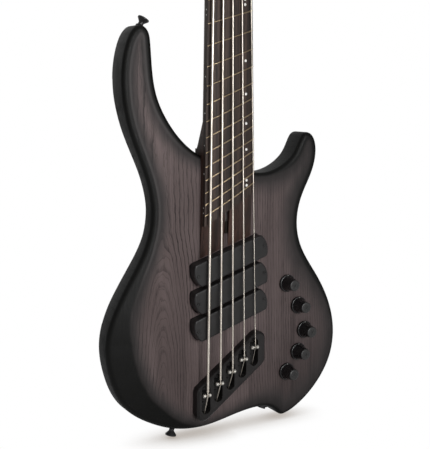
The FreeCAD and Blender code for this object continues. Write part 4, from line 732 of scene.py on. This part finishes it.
@dataclass
class Body:
    """The ash body: its outline as shares of width and length, a forearm bevel in front, a belly cut behind."""

    width: float = 341 * MM
    length: float = 521 * MM
    steps: int = 80
    samples: int = 960
    grid: float = 3.4 * MM
    grid_margin: float = 1.5
    clear_share: float = 0.97
    break_from: float = 1.6
    smooth: float = 50.0
    rolled: tuple[float, ...] = (0.04, 0.14, 0.3, 0.5, 0.75, 1.0, 1.35)
    creased: tuple[float, ...] = (-1.0, -0.5, 0.0, 0.5, 1.0)
    outline: tuple[Flat, ...] = (
        (-0.117, 0.597), (-0.158, 0.617), (-0.229, 0.672), (-0.276, 0.737), (-0.292, 0.806), (-0.297, 0.856),
        (-0.303, 0.877), (-0.320, 0.891), (-0.340, 0.894), (-0.364, 0.884), (-0.389, 0.854), (-0.406, 0.806),
        (-0.408, 0.739), (-0.383, 0.653), (-0.331, 0.559), (-0.301, 0.470), (-0.315, 0.399), (-0.370, 0.322),
        (-0.443, 0.234), (-0.480, 0.150), (-0.466, 0.067), (-0.413, -0.010), (-0.308, -0.063),
        (-0.202, -0.089), (-0.088, -0.094), (0.029, -0.081), (0.135, -0.071), (0.205, -0.076),
        (0.233, -0.087), (0.252, -0.099), (0.267, -0.104), (0.284, -0.103), (0.352, -0.083), (0.446, -0.029),
        (0.506, 0.040), (0.520, 0.106), (0.499, 0.177), (0.427, 0.268), (0.350, 0.351), (0.333, 0.411),
        (0.355, 0.477), (0.399, 0.536), (0.418, 0.593), (0.409, 0.622), (0.389, 0.637), (0.363, 0.638),
        (0.342, 0.622), (0.315, 0.589), (0.264, 0.560), (0.182, 0.542), (0.029, 0.562),
    )
    front: Face = Face(
        side=-1, flat=-38 * MM, radius=6 * MM, width=38 * MM, depth=8 * MM, crease=2 * MM, recess=14 * MM, shares=(
            (14.4, 0.0), (15, 0.06), (16, 0.13), (17, 0.25), (18, 0.5), (19, 0.87), (20, 0.98), (21, 1.0),
            (22, 0.74), (23, 0.4), (24, 0.12), (24.8, 0.0)))
    back: Face = Face(
        side=1, flat=0.0, radius=7 * MM, width=62 * MM, depth=12 * MM, crease=12 * MM, recess=-9 * MM, shares=(
            (11.5, 0.0), (12, 0.08), (13, 0.45), (14, 0.9), (15, 1.0), (16, 0.9), (17, 0.45), (18, 0.08),
            (18.5, 0.0)))

    def build(self) -> None:
        """Makes the body and hides its CAD solid."""
        self.trace()
        self.shell = bmesh.new()
        self.rim = self.shell.verts.layers.float.new("rim")
        pickups = [Pickup(number).rout_outline() for number in PICKUPS]
        fixings = [Controls().cover_outline(), *NeckFixings().rims()]
        band(self.shell, self.add_face(self.front, pickups), self.add_face(self.back, fixings))
        mesh = mesh_of(self.shell, "body_shell", self.smooth)
        piece("body_shell", mesh, Finishes.ASH, ROOT, ["body"])

    def trace(self) -> None:
        """Samples the smooth closed outline evenly, with the point number that each sample has reached."""
        points = np.array(self.outline) * (self.width, self.length)
        ahead = np.roll(points, -1, axis=0)
        gaps = np.linalg.norm(ahead - points, axis=1)
        before = np.roll(gaps, 1)
        slope = (ahead - points) / gaps[:, None]
        system = np.diag(2 * (gaps + before))
        system += np.roll(np.diag(gaps), -1, axis=1) + np.roll(np.diag(before), 1, axis=1)
        ways = np.linalg.solve(system, 3 * (gaps[:, None] * np.roll(slope, 1, axis=0) + before[:, None] * slope))
        t = np.arange(self.steps)[:, None, None] / self.steps
        span = gaps[:, None]
        dense = ((2 * t ** 3 - 3 * t ** 2 + 1) * points + (t ** 3 - 2 * t ** 2 + t) * span * ways
                 + (3 * t ** 2 - 2 * t ** 3) * ahead + (t ** 3 - t ** 2) * span * np.roll(ways, -1, axis=0))
        line = dense.swapaxes(0, 1).reshape(-1, 2)
        line = np.vstack([line, line[:1]])
        runs = np.append(0.0, np.cumsum(np.linalg.norm(np.diff(line, axis=0), axis=1)))
        wanted = np.arange(self.samples) * runs[-1] / self.samples
        self.line = np.stack([np.interp(wanted, runs, line[:, axis]) for axis in (0, 1)], -1)
        self.marks = np.interp(wanted, runs, np.arange(len(line)) / self.steps)
        self.along = np.roll(self.line, -1, axis=0) - self.line
        self.advance = (np.roll(self.marks, -1) - self.marks) % len(points)
        tangent = np.roll(self.line, -1, axis=0) - np.roll(self.line, 1, axis=0)
        tangent /= np.linalg.norm(tangent, axis=1)[:, None]
        self.inward = np.stack([-tangent[:, 1], tangent[:, 0]], -1)
        self.tree = KDTree(self.samples)
        for index, (x, z) in enumerate(self.line):
            self.tree.insert((x, z, 0.0), index)
        self.tree.balance()

    def nearest(self, x: float, z: float) -> Flat:
        """Finds the outline from a point.

        Args:
            x: Across the body.
            z: Along the body.

        Returns:
            The distance, below zero outside the outline, and the outline's point number there.
        """
        _, index, _ = self.tree.find((x, z, 0.0))
        found = []
        for start in (index - 1, index):
            here, along = np.array((x, z)) - self.line[start], self.along[start]
            share = min(1.0, max(0.0, float(np.dot(here, along) / np.dot(along, along))))
            side = float(np.dot(here, self.inward[start]))
            away = float(np.hypot(*(here - along * share)))
            found.append((away, self.marks[start] + share * self.advance[start], side))
        away, mark, side = min(found)
        return (away if side >= 0 else -away), mark

    def add_face(self, face: Face, holes: Sequence[list[Flat]]) -> list[BMVert]:
        """Fills one face of the body with a fine net of triangles, shaped by its distance from the outline.

        Args:
            face: The face to fill.
            holes: Closed outlines that are left open, with a wall behind them.

        Returns:
            The vertices on the outline, in order.
        """
        points = [tuple(point) for point in self.line]
        edges = list(around(range(self.samples)))
        spans = []
        for hole in holes:
            spans.append(range(len(points), len(points) + len(hole)))
            points += hole
            edges += around(spans[-1])
        points += self.ring_points(face) + self.grid_points()
        kept, _, faces, source, _, _ = delaunay_2d_cdt([Vector(p) for p in points], edges, [], 0, SAME_POINT)
        place = {old: new for new, olds in enumerate(source) for old in olds}
        verts = []
        for point in kept:
            away, mark = self.nearest(*point)
            y, rim = face.level(max(0.0, away), mark)
            verts.append(self.shell.verts.new((point.x, y, point.y)))
            verts[-1][self.rim] = rim
        for corners in faces:
            middle = sum((kept[i] for i in corners), Vector((0.0, 0.0))) / 3
            if self.nearest(*middle)[0] >= 0 and not any(within(middle, hole) for hole in holes):
                self.shell.faces.new([verts[i] for i in corners])
        for span in spans:
            self.add_wall([verts[place[index]] for index in span], face.recess)
        return [verts[place[index]] for index in range(self.samples)]

    def add_wall(self, loop: Sequence[BMVert], depth: float) -> None:
        """Walls and floor of a recess under a hole."""
        floor = [self.shell.verts.new((vert.co.x, vert.co.y + depth, vert.co.z)) for vert in loop]
        for vert in floor:
            vert[self.rim] = -1.0
        band(self.shell, loop, floor)
        self.shell.faces.new(floor)

    def ring_points(self, face: Face) -> list[Flat]:
        """Points that follow the outline where the edge is rolled and where the bevel breaks."""
        points = []
        for here, inward, mark in zip(self.line, self.inward, self.marks):
            reach = face.reach(mark)
            offsets = [face.radius * share for share in self.rolled]
            if reach > face.radius * self.break_from and face.side < 0:
                offsets += [reach + face.crease * share for share in self.creased]
            for offset in offsets:
                x, z = here + inward * offset
                if self.nearest(x, z)[0] > offset * self.clear_share:
                    points.append((float(x), float(z)))
        return points

    def grid_points(self) -> list[Flat]:
        """An even net of points over the inside."""
        low, high = self.line.min(axis=0), self.line.max(axis=0)
        points = []
        for row, z in enumerate(np.arange(low[1], high[1], self.grid)):
            shift = self.grid / 2 if row % 2 else 0.0
            for x in np.arange(low[0] + shift, high[0], self.grid):
                if self.nearest(x, z)[0] > self.back.radius * self.grid_margin:
                    points.append((float(x), float(z)))
        return points


def within(point: Vector, loop: Sequence[Flat]) -> bool:
    """Whether a flat point lies inside a closed loop."""
    inside = False
    for (x0, z0), (x1, z1) in around(loop):
        if (z0 > point.y) != (z1 > point.y) and point.x < (x1 - x0) * (point.y - z0) / (z1 - z0) + x0:
            inside = not inside
    return inside


@dataclass
class Pickup:
    """One tilted bar pickup: its cover, coils and height screws."""

    number: int
    length: float = 112 * MM
    width: float = 30 * MM
    bulge: float = 5 * MM
    gap: float = 0.5 * MM
    tilt: float = 18.0
    first: float = 172.6 * MM
    pitch: float = 35.8 * MM
    offset: float = 2.5 * MM
    rise: float = 13.7 * MM
    body_top: float = -38 * MM
    screw_inset: float = 4.6 * MM
    screw_sink: float = 0.2 * MM
    arc_steps: int = 6
    cover_angle: float = 38.0

    def to_body(self, along: float, across: float) -> Flat:
        """A point of the pickup's plan, in the body's x and z."""
        turn = math.radians(self.tilt)
        middle = self.first - (self.number - 1) * self.pitch
        return (self.offset + along * math.cos(turn) - across * math.sin(turn),
                middle + along * math.sin(turn) + across * math.cos(turn))

    def rout_outline(self) -> list[Flat]:
        """The opening in the body around the cover."""
        half = self.width / 2 + self.gap
        tip = self.length / 2 + self.gap
        radius = (half ** 2 + self.bulge ** 2) / (2 * self.bulge)
        reach = math.asin(half / radius)
        loop = []
        for side in (1, -1):
            for step in range(2 * self.arc_steps + 1):
                angle = reach * (1 - step / self.arc_steps)
                along = side * (tip - radius + radius * math.cos(angle))
                loop.append(self.to_body(along, side * radius * math.sin(angle)))
        return loop

    def build(self) -> None:
        """Dresses the cover and its screws."""
        body = f"pickup_{self.number}"
        carry_over(f"pickup_cover_{self.number}", Finishes.PICKUP, body, self.cover_angle)
        carry_over(f"pickup_coils_{self.number}", Finishes.COIL, body)
        reach = self.length / 2 - self.screw_inset
        places = []
        for side in (-1, 1):
            x, z = self.to_body(side * reach, 0.0)
            places.append(Vector((x, self.body_top - self.rise + self.screw_sink, z)))
        ScrewHeads(f"{body}_screws", places, Finishes.SCREW, body, radius=2.3 * MM, height=1.2 * MM,
                   socket=1.1 * MM, corners=6).build()
        carry_over(f"pickup_screws_{self.number}", Finishes.SCREW, body)


class Growth(Tree):
    """A Geometry Nodes tree while it is being made."""

    def __init__(self, name: str, inputs: dict[str, str]) -> None:
        """Starts a tree.

        Args:
            name: The tree's name.
            inputs: The named inputs beside the geometry and the material, each with its socket kind.
        """
        self.tree = bpy.data.node_groups.new(name, "GeometryNodeTree")
        for label, kind in {"Geometry": "Geometry", **inputs, "Material": "Material"}.items():
            self.tree.interface.new_socket(label, in_out="INPUT", socket_type="NodeSocket" + kind)
        self.tree.interface.new_socket("Geometry", in_out="OUTPUT", socket_type="NodeSocketGeometry")
        self.start = self.tree.nodes.new("NodeGroupInput")

    def given(self, name: str) -> Value:
        """One of the tree's inputs."""
        return Value(self, self.start.outputs[name])

    def lifted(self, geometry: Value, height: Value) -> Value:
        """Geometry moved up its own Z."""
        way = self.node("ShaderNodeCombineXYZ", None, {"Z": height})
        return self.node("GeometryNodeTransform", None, {"Geometry": geometry, "Translation": way})

    def end(self, geometry: Value) -> None:
        """Realizes the instances, sets the material and closes the tree."""
        real = self.node("GeometryNodeRealizeInstances", None, {0: geometry})
        paint = {"Geometry": real, "Material": self.given("Material")}
        self.close("NodeGroupOutput", self.node("GeometryNodeSetMaterial", None, paint))

    def grow(self, seed: Mesh, values: dict, finish: Finishes, angle: float) -> Mesh:
        """Runs the tree on a mesh.

        Args:
            seed: The mesh that it starts from.
            values: The named inputs.
            finish: The finish of what grows.
            angle: Edges that turn more than this stay sharp, in degrees.

        Returns:
            A plain mesh.
        """
        holder = placed(seed.name, seed)
        modifier = holder.modifiers.new("growth", "NODES")
        modifier.node_group = self.tree
        values = {**values, "Material": finish.material()}
        for item in self.tree.interface.items_tree:
            if item.in_out == "INPUT" and item.name in values:
                modifier[item.identifier] = values[item.name]
        mesh = settle(holder, seed.name)
        shade_smooth(mesh, angle)
        return mesh


@dataclass
class ScrewHeads:
    """Screw heads with a socket, set by Geometry Nodes on the middles of their bases, all facing the front."""

    name: str
    places: Sequence[Vector]
    finish: Finishes
    body: str
    radius: float
    height: float
    socket: float
    corners: int
    sides: int = 28
    crown: float = 0.78
    smooth: float = 35.0

    def growth(self) -> Growth:
        """The node tree: a rounded head less a socket, on every point."""
        sizes = {label: "Float" for label in ("Radius", "Height", "Socket")}
        tree = Growth(self.name, {**sizes, "Corners": "Int", "Turn": "Rotation"})
        radius, height = tree.given("Radius"), tree.given("Height")
        low = height * 0.5
        rim = tree.node("GeometryNodeMeshCylinder", None, {"Vertices": self.sides, "Radius": radius, "Depth": height})
        crown = tree.node("GeometryNodeMeshCone", None, {
            "Vertices": self.sides, "Radius Bottom": radius, "Radius Top": radius * self.crown, "Depth": low})
        key = tree.node("GeometryNodeMeshCylinder", None, {
            "Vertices": tree.given("Corners"), "Radius": tree.given("Socket"), "Depth": height})
        whole = tree.node("GeometryNodeMeshBoolean", {"operation": "UNION"}, {1: [rim, tree.lifted(crown, low)]})
        head = tree.node("GeometryNodeMeshBoolean", {"operation": "DIFFERENCE"},
                         {0: whole, 1: tree.lifted(key, height)})
        tree.end(tree.node("GeometryNodeInstanceOnPoints", None, {
            "Points": tree.given("Geometry"), "Instance": head, "Rotation": tree.given("Turn")}))
        return tree

    def build(self) -> None:
        """Sets all the heads as one piece."""
        seed = bpy.data.meshes.new(self.name)
        seed.from_pydata([tuple(place) for place in self.places], [], [])
        values = {"Radius": self.radius, "Height": self.height, "Socket": self.socket, "Corners": self.corners,
                  "Turn": FRONT.to_track_quat("Z", "Y").to_euler()}
        mesh = self.growth().grow(seed, values, self.finish, self.smooth)
        piece(self.name, mesh, self.finish, self.body)


@dataclass
class Frets:
    """Slanted frets: half-round wire bent to the fingerboard's curve, swept by Geometry Nodes."""

    count: int = 24
    straight: int = 6
    low_scale: float = 939.8 * MM
    high_scale: float = 863.6 * MM
    spacing: float = 18 * MM
    nut_spacing: float = 9.5 * MM
    nut_width: float = 45.6 * MM
    heel_width: float = 73 * MM
    board_radius: float = 305 * MM
    crown: float = -52 * MM
    inset: float = 0.3 * MM
    wire: float = 1.6 * MM
    rise: float = 1.05 * MM
    sink: float = 0.1 * MM
    rounds: int = 8
    spans: int = 14
    facets: int = 12
    smooth: float = 50.0

    def string_place(self, number: int, fret: int) -> Vector:
        """Where a string crosses a fret, in x and z."""
        left = 2 ** (-fret / 12)
        straight = 2 ** (-self.straight / 12)
        scale = self.low_scale + (self.high_scale - self.low_scale) * (number - 1) / 4
        x = (number - 3) * (self.spacing + (self.nut_spacing - self.spacing) * left)
        return Vector((x, self.low_scale * straight + scale * (left - straight)))

    def half_width(self, z: float) -> float:
        """Half the fingerboard's width at a height."""
        top, heel = self.string_place(1, 0).y, self.string_place(1, self.count).y
        return (self.nut_width + (self.heel_width - self.nut_width) * (top - z) / (top - heel)) / 2

    def path(self, fret: int) -> list[Triple]:
        """Points along one fret, from the bass edge to the treble edge."""
        low, high = self.string_place(1, fret), self.string_place(5, fret)
        way = (high - low).normalized()
        ends = []
        for side, point in ((-1, low), (1, high)):
            for _ in range(self.rounds):
                point = point + way * ((side * (self.half_width(point.y) - self.inset) - point.x) / way.x)
            ends.append(point)
        points = []
        for step in range(self.spans + 1):
            here = ends[0].lerp(ends[1], step / self.spans)
            fall = self.board_radius - math.sqrt(self.board_radius ** 2 - here.x ** 2)
            points.append((here.x, self.crown + fall + self.sink, here.y))
        return points

    def growth(self) -> Growth:
        """The node tree: a half-round section along every line, with its ends filled."""
        tree = Growth("fret_wire_sweep", {"Width": "Float", "Rise": "Float"})
        line = tree.node("GeometryNodeMeshToCurve", None, {"Mesh": tree.given("Geometry")})
        line = tree.node("GeometryNodeSetCurveNormal", {"mode": "Z_UP"}, {"Curve": line})
        arc = tree.node("GeometryNodeCurveArc", {"mode": "RADIUS"}, {
            "Resolution": self.facets + 1, "Radius": 1.0, "Start Angle": -math.pi / 2, "Sweep Angle": math.pi})
        shape = tree.node("ShaderNodeCombineXYZ", None, {
            "X": tree.given("Rise"), "Y": tree.given("Width") * 0.5, "Z": 1.0})
        arc = tree.node("GeometryNodeTransform", None, {"Geometry": arc, "Scale": shape})
        arc = tree.node("GeometryNodeSetSplineCyclic", None, {"Geometry": arc, "Cyclic": True})
        tree.end(tree.node("GeometryNodeCurveToMesh", None, {"Curve": line, "Profile Curve": arc, "Fill Caps": True}))
        return tree

    def build(self) -> None:
        """Makes the frets and hides their CAD solids."""
        points, edges = [], []
        for fret in range(1, self.count + 1):
            path = self.path(fret)
            edges += [(len(points) + i, len(points) + i + 1) for i in range(len(path) - 1)]
            points += path
        seed = bpy.data.meshes.new("fret_wires")
        seed.from_pydata(points, edges, [])
        sizes = {"Width": self.wire, "Rise": self.rise + self.sink}
        mesh = self.growth().grow(seed, sizes, Finishes.FRET, self.smooth)
        piece("fret_wires", mesh, Finishes.FRET, ROOT, ["frets"])


@dataclass
class Knob:
    """A turned cone knob on a skirt, with a hollow and a set screw in its end and a dot on its skirt."""

    number: int
    skirt: float = 11.7 * MM
    cone: float = 10.2 * MM
    end: float = 7.5 * MM
    height: float = 20.6 * MM
    foot_edge: float = 0.5 * MM
    skirt_side: float = 2.6 * MM
    skirt_round: float = 0.9 * MM
    waist: float = 0.35 * MM
    end_round: float = 1.2 * MM
    fillet: float = 0.3 * MM
    dot_rise: float = 3.4 * MM
    dot_inset: float = 1.1 * MM
    # Radius and drop in millimetres, then the lightening; the light ring on the hollow's edge is partly a painted
    # highlight.
    dish: tuple[Triple, ...] = (
        (4.6, 0.0, 0.55), (2.7, 0.0, 0.3), (2.4, 0.35, 1.0), (1.9, 0.4, 1.0), (1.7, 0.9, 0.0), (0.9, 0.9, 0.3))
    smooth: float = 40.0
    turns: int = 64
    skirt_steps: int = 4
    cone_steps: int = 8
    end_steps: int = 5

    def profile(self) -> list[Triple]:
        """Radius, height and lightening, partly wear and partly painted highlight, from the rim of the foot to the
        middle of the end.
        """
        tall, end, skirt, side, edge = self.height, self.end, self.skirt, self.skirt_side, self.foot_edge
        line = [(skirt - edge, 0.0, 0.0), (skirt, edge, 0.0), (skirt, side, 0.0)]
        for step in range(self.skirt_steps + 1):
            angle = math.radians(90 / self.skirt_steps * step)
            inset, rise = self.skirt_round * (1 - math.cos(angle)), self.skirt_round * math.sin(angle)
            # The skirt's shoulder is lightened a little as a painted highlight.
            line.append((skirt - inset, side + rise, 0.15))
        shoulder = side + self.skirt_round
        line.append((self.cone + self.fillet, shoulder, 0.0))
        rise = tall - self.end_round - shoulder - self.fillet
        for step in range(self.cone_steps + 1):
            share = step / self.cone_steps
            radius = self.cone + (end - self.cone) * share - self.waist * math.sin(math.pi * share)
            line.append((radius, shoulder + self.fillet + rise * share, 0.1 * share))
        for step in range(1, self.end_steps + 1):
            angle = math.radians(90 / self.end_steps * step)
            inset, drop = self.end_round * (1 - math.cos(angle)), self.end_round * (1 - math.sin(angle))
            # The end's rolled rim is lightened, partly by wear and partly as a painted highlight.
            line.append((end - inset, tall - drop, 0.2 + 0.5 * step / self.end_steps))
        return line + [(radius * MM, tall - drop * MM, worn) for radius, drop, worn in self.dish]

    def build(self) -> None:
        """Turns the knob about its axis and hides its CAD solid."""
        node = f"knob_{self.number}"
        low, high = (Vector(corner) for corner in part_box(node))
        middle = (low + high) / 2
        foot = low.y + self.height
        shell = bmesh.new()
        layer = shell.verts.layers.float.new("worn")
        rings = []
        for radius, rise, worn in self.profile():
            ring = []
            for step in range(self.turns):
                angle = 2 * math.pi * step / self.turns
                spot = (middle.x + radius * math.cos(angle), foot - rise, middle.z + radius * math.sin(angle))
                ring.append(shell.verts.new(spot))
                ring[-1][layer] = worn
            rings.append(ring)
        for one, two in zip(rings, rings[1:]):
            band(shell, one, two)
        shell.faces.new(rings[-1])
        shell.faces.new(list(reversed(rings[0])))
        mesh = mesh_of(shell, node + "_turned", self.smooth)
        piece(node + "_turned", mesh, Finishes.KNOB, node, [node])
        spot = Vector((middle.x, foot - self.dot_rise, middle.z + self.skirt - self.dot_inset))
        ScrewHeads(f"{node}_dot", [spot], Finishes.DOT, node, radius=0.75 * MM, height=0.3 * MM, socket=0.3 * MM,
                   corners=12).build()


@dataclass
class Controls:
    """Knobs, and what lies under the cover on the back."""

    width: float = 341 * MM
    length: float = 521 * MM
    lip: float = 7 * MM
    corners: tuple[Flat, ...] = (
        (0.240, 0.284), (0.317, 0.284), (0.405, 0.207), (0.428, 0.119), (0.393, 0.038), (0.317, -0.023),
        (0.211, -0.015), (0.205, 0.144),
    )

    def cover_outline(self) -> list[Flat]:
        """The control cover's outline on the back: the cavity's corners, moved outwards by the lip."""
        points = [Vector((x * self.width, z * self.length)) for x, z in self.corners]
        out = []
        for before, here, after in zip([points[-1], *points], points, [*points[1:], points[0]]):
            first, second = (here - before).normalized(), (after - here).normalized()
            one, two = Vector((-first.y, first.x)), Vector((-second.y, second.x))
            miter = (one + two).normalized()
            out.append(tuple(here + miter * (self.lip / miter.dot(one))))
        return out

    def build(self) -> None:
        """Dresses the knobs, pots, electronics and cover."""
        for number in KNOBS:
            Knob(number).build()
        for node, finish in (("potentiometers", Finishes.ZINC), ("circuit_board", Finishes.LAMINATE),
                             ("battery", Finishes.CELL), ("control_cover", Finishes.COVER),
                             ("cover_screws", Finishes.SCREW), ("output_jack", Finishes.HARDWARE)):
            carry_over(node, finish)


@dataclass
class NeckFixings:
    """Bolts and ferrules behind the neck."""

    inset: float = 22 * MM
    heights: Flat = (222 * MM, 268 * MM)
    ferrule_radius: float = 7.5 * MM
    ring_steps: int = 40

    def rims(self) -> list[list[Flat]]:
        """The edge of each ferrule's hole in the back."""
        turns = [2 * math.pi * step / self.ring_steps for step in range(self.ring_steps)]
        ring = [(self.ferrule_radius * math.cos(turn), self.ferrule_radius * math.sin(turn)) for turn in turns]
        places = [(side * self.inset, z) for side in (-1, 1) for z in self.heights]
        return [[(x + across, z + along) for across, along in ring] for x, z in places]

    def build(self) -> None:
        """Dresses the bolts and ferrules."""
        carry_over("neck_ferrules", Finishes.HARDWARE)
        carry_over("neck_bolts", Finishes.SCREW)


@dataclass
class Neck:
    """Neck, fingerboard, frets, dots, nut and truss rod."""

    def build(self) -> None:
        """Dresses everything along the neck."""
        for node, finish, angle in (("neck", Finishes.NECK, 24.0), ("fingerboard", Finishes.BOARD, 30.0),
                                    ("fret_markers", Finishes.PEARL, 40.0), ("nut", Finishes.NUT, 35.0),
                                    ("truss_rod", Finishes.STEEL, 35.0)):
            carry_over(node, finish, angle=angle)
        carry_over("truss_rod_nut", Finishes.ROD_NUT_IN_SHADE, "truss_rod_nut")
        Frets().build()


@dataclass
class Tuners:
    """Gear cases, bushings, posts and keys on the headstock."""

    finish: Finishes = Finishes.HARDWARE

    def build(self) -> None:
        """Dresses the tuners."""
        carry_over("tuner_housings", self.finish)
        carry_over("tuner_bushings", self.finish)
        for number in STRINGS:
            for node in (f"tuner_post_{number}", f"tuner_key_{number}"):
                carry_over(node, self.finish, node)


@dataclass
class Bridge:
    """Bridge plate, its screws, the saddles and the strings."""

    string_angle: float = 50.0

    def build(self) -> None:
        """Dresses the bridge and what runs over it."""
        carry_over("bridge_plate", Finishes.BRIDGE)
        carry_over("bridge_screws", Finishes.SCREW)
        for number in STRINGS:
            carry_over(f"saddle_block_{number}", Finishes.SADDLE, f"saddle_{number}")
            carry_over(f"saddle_spool_{number}", Finishes.SPOOL, f"saddle_{number}")
            carry_over(f"string_{number}", Finishes.WOUND, angle=self.string_angle)


def main() -> None:
    """Builds the scene, piece by piece."""
    logging.basicConfig(level=logging.INFO, format="%(name)s %(message)s")
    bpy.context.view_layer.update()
    Studio().build()
    Body().build()
    Neck().build()
    NeckFixings().build()
    for number in PICKUPS:
        Pickup(number).build()
    Bridge().build()
    Controls().build()
    Tuners().build()
    carry_over("strap_buttons", Finishes.HARDWARE)


if __name__ == "__main__":
    main()
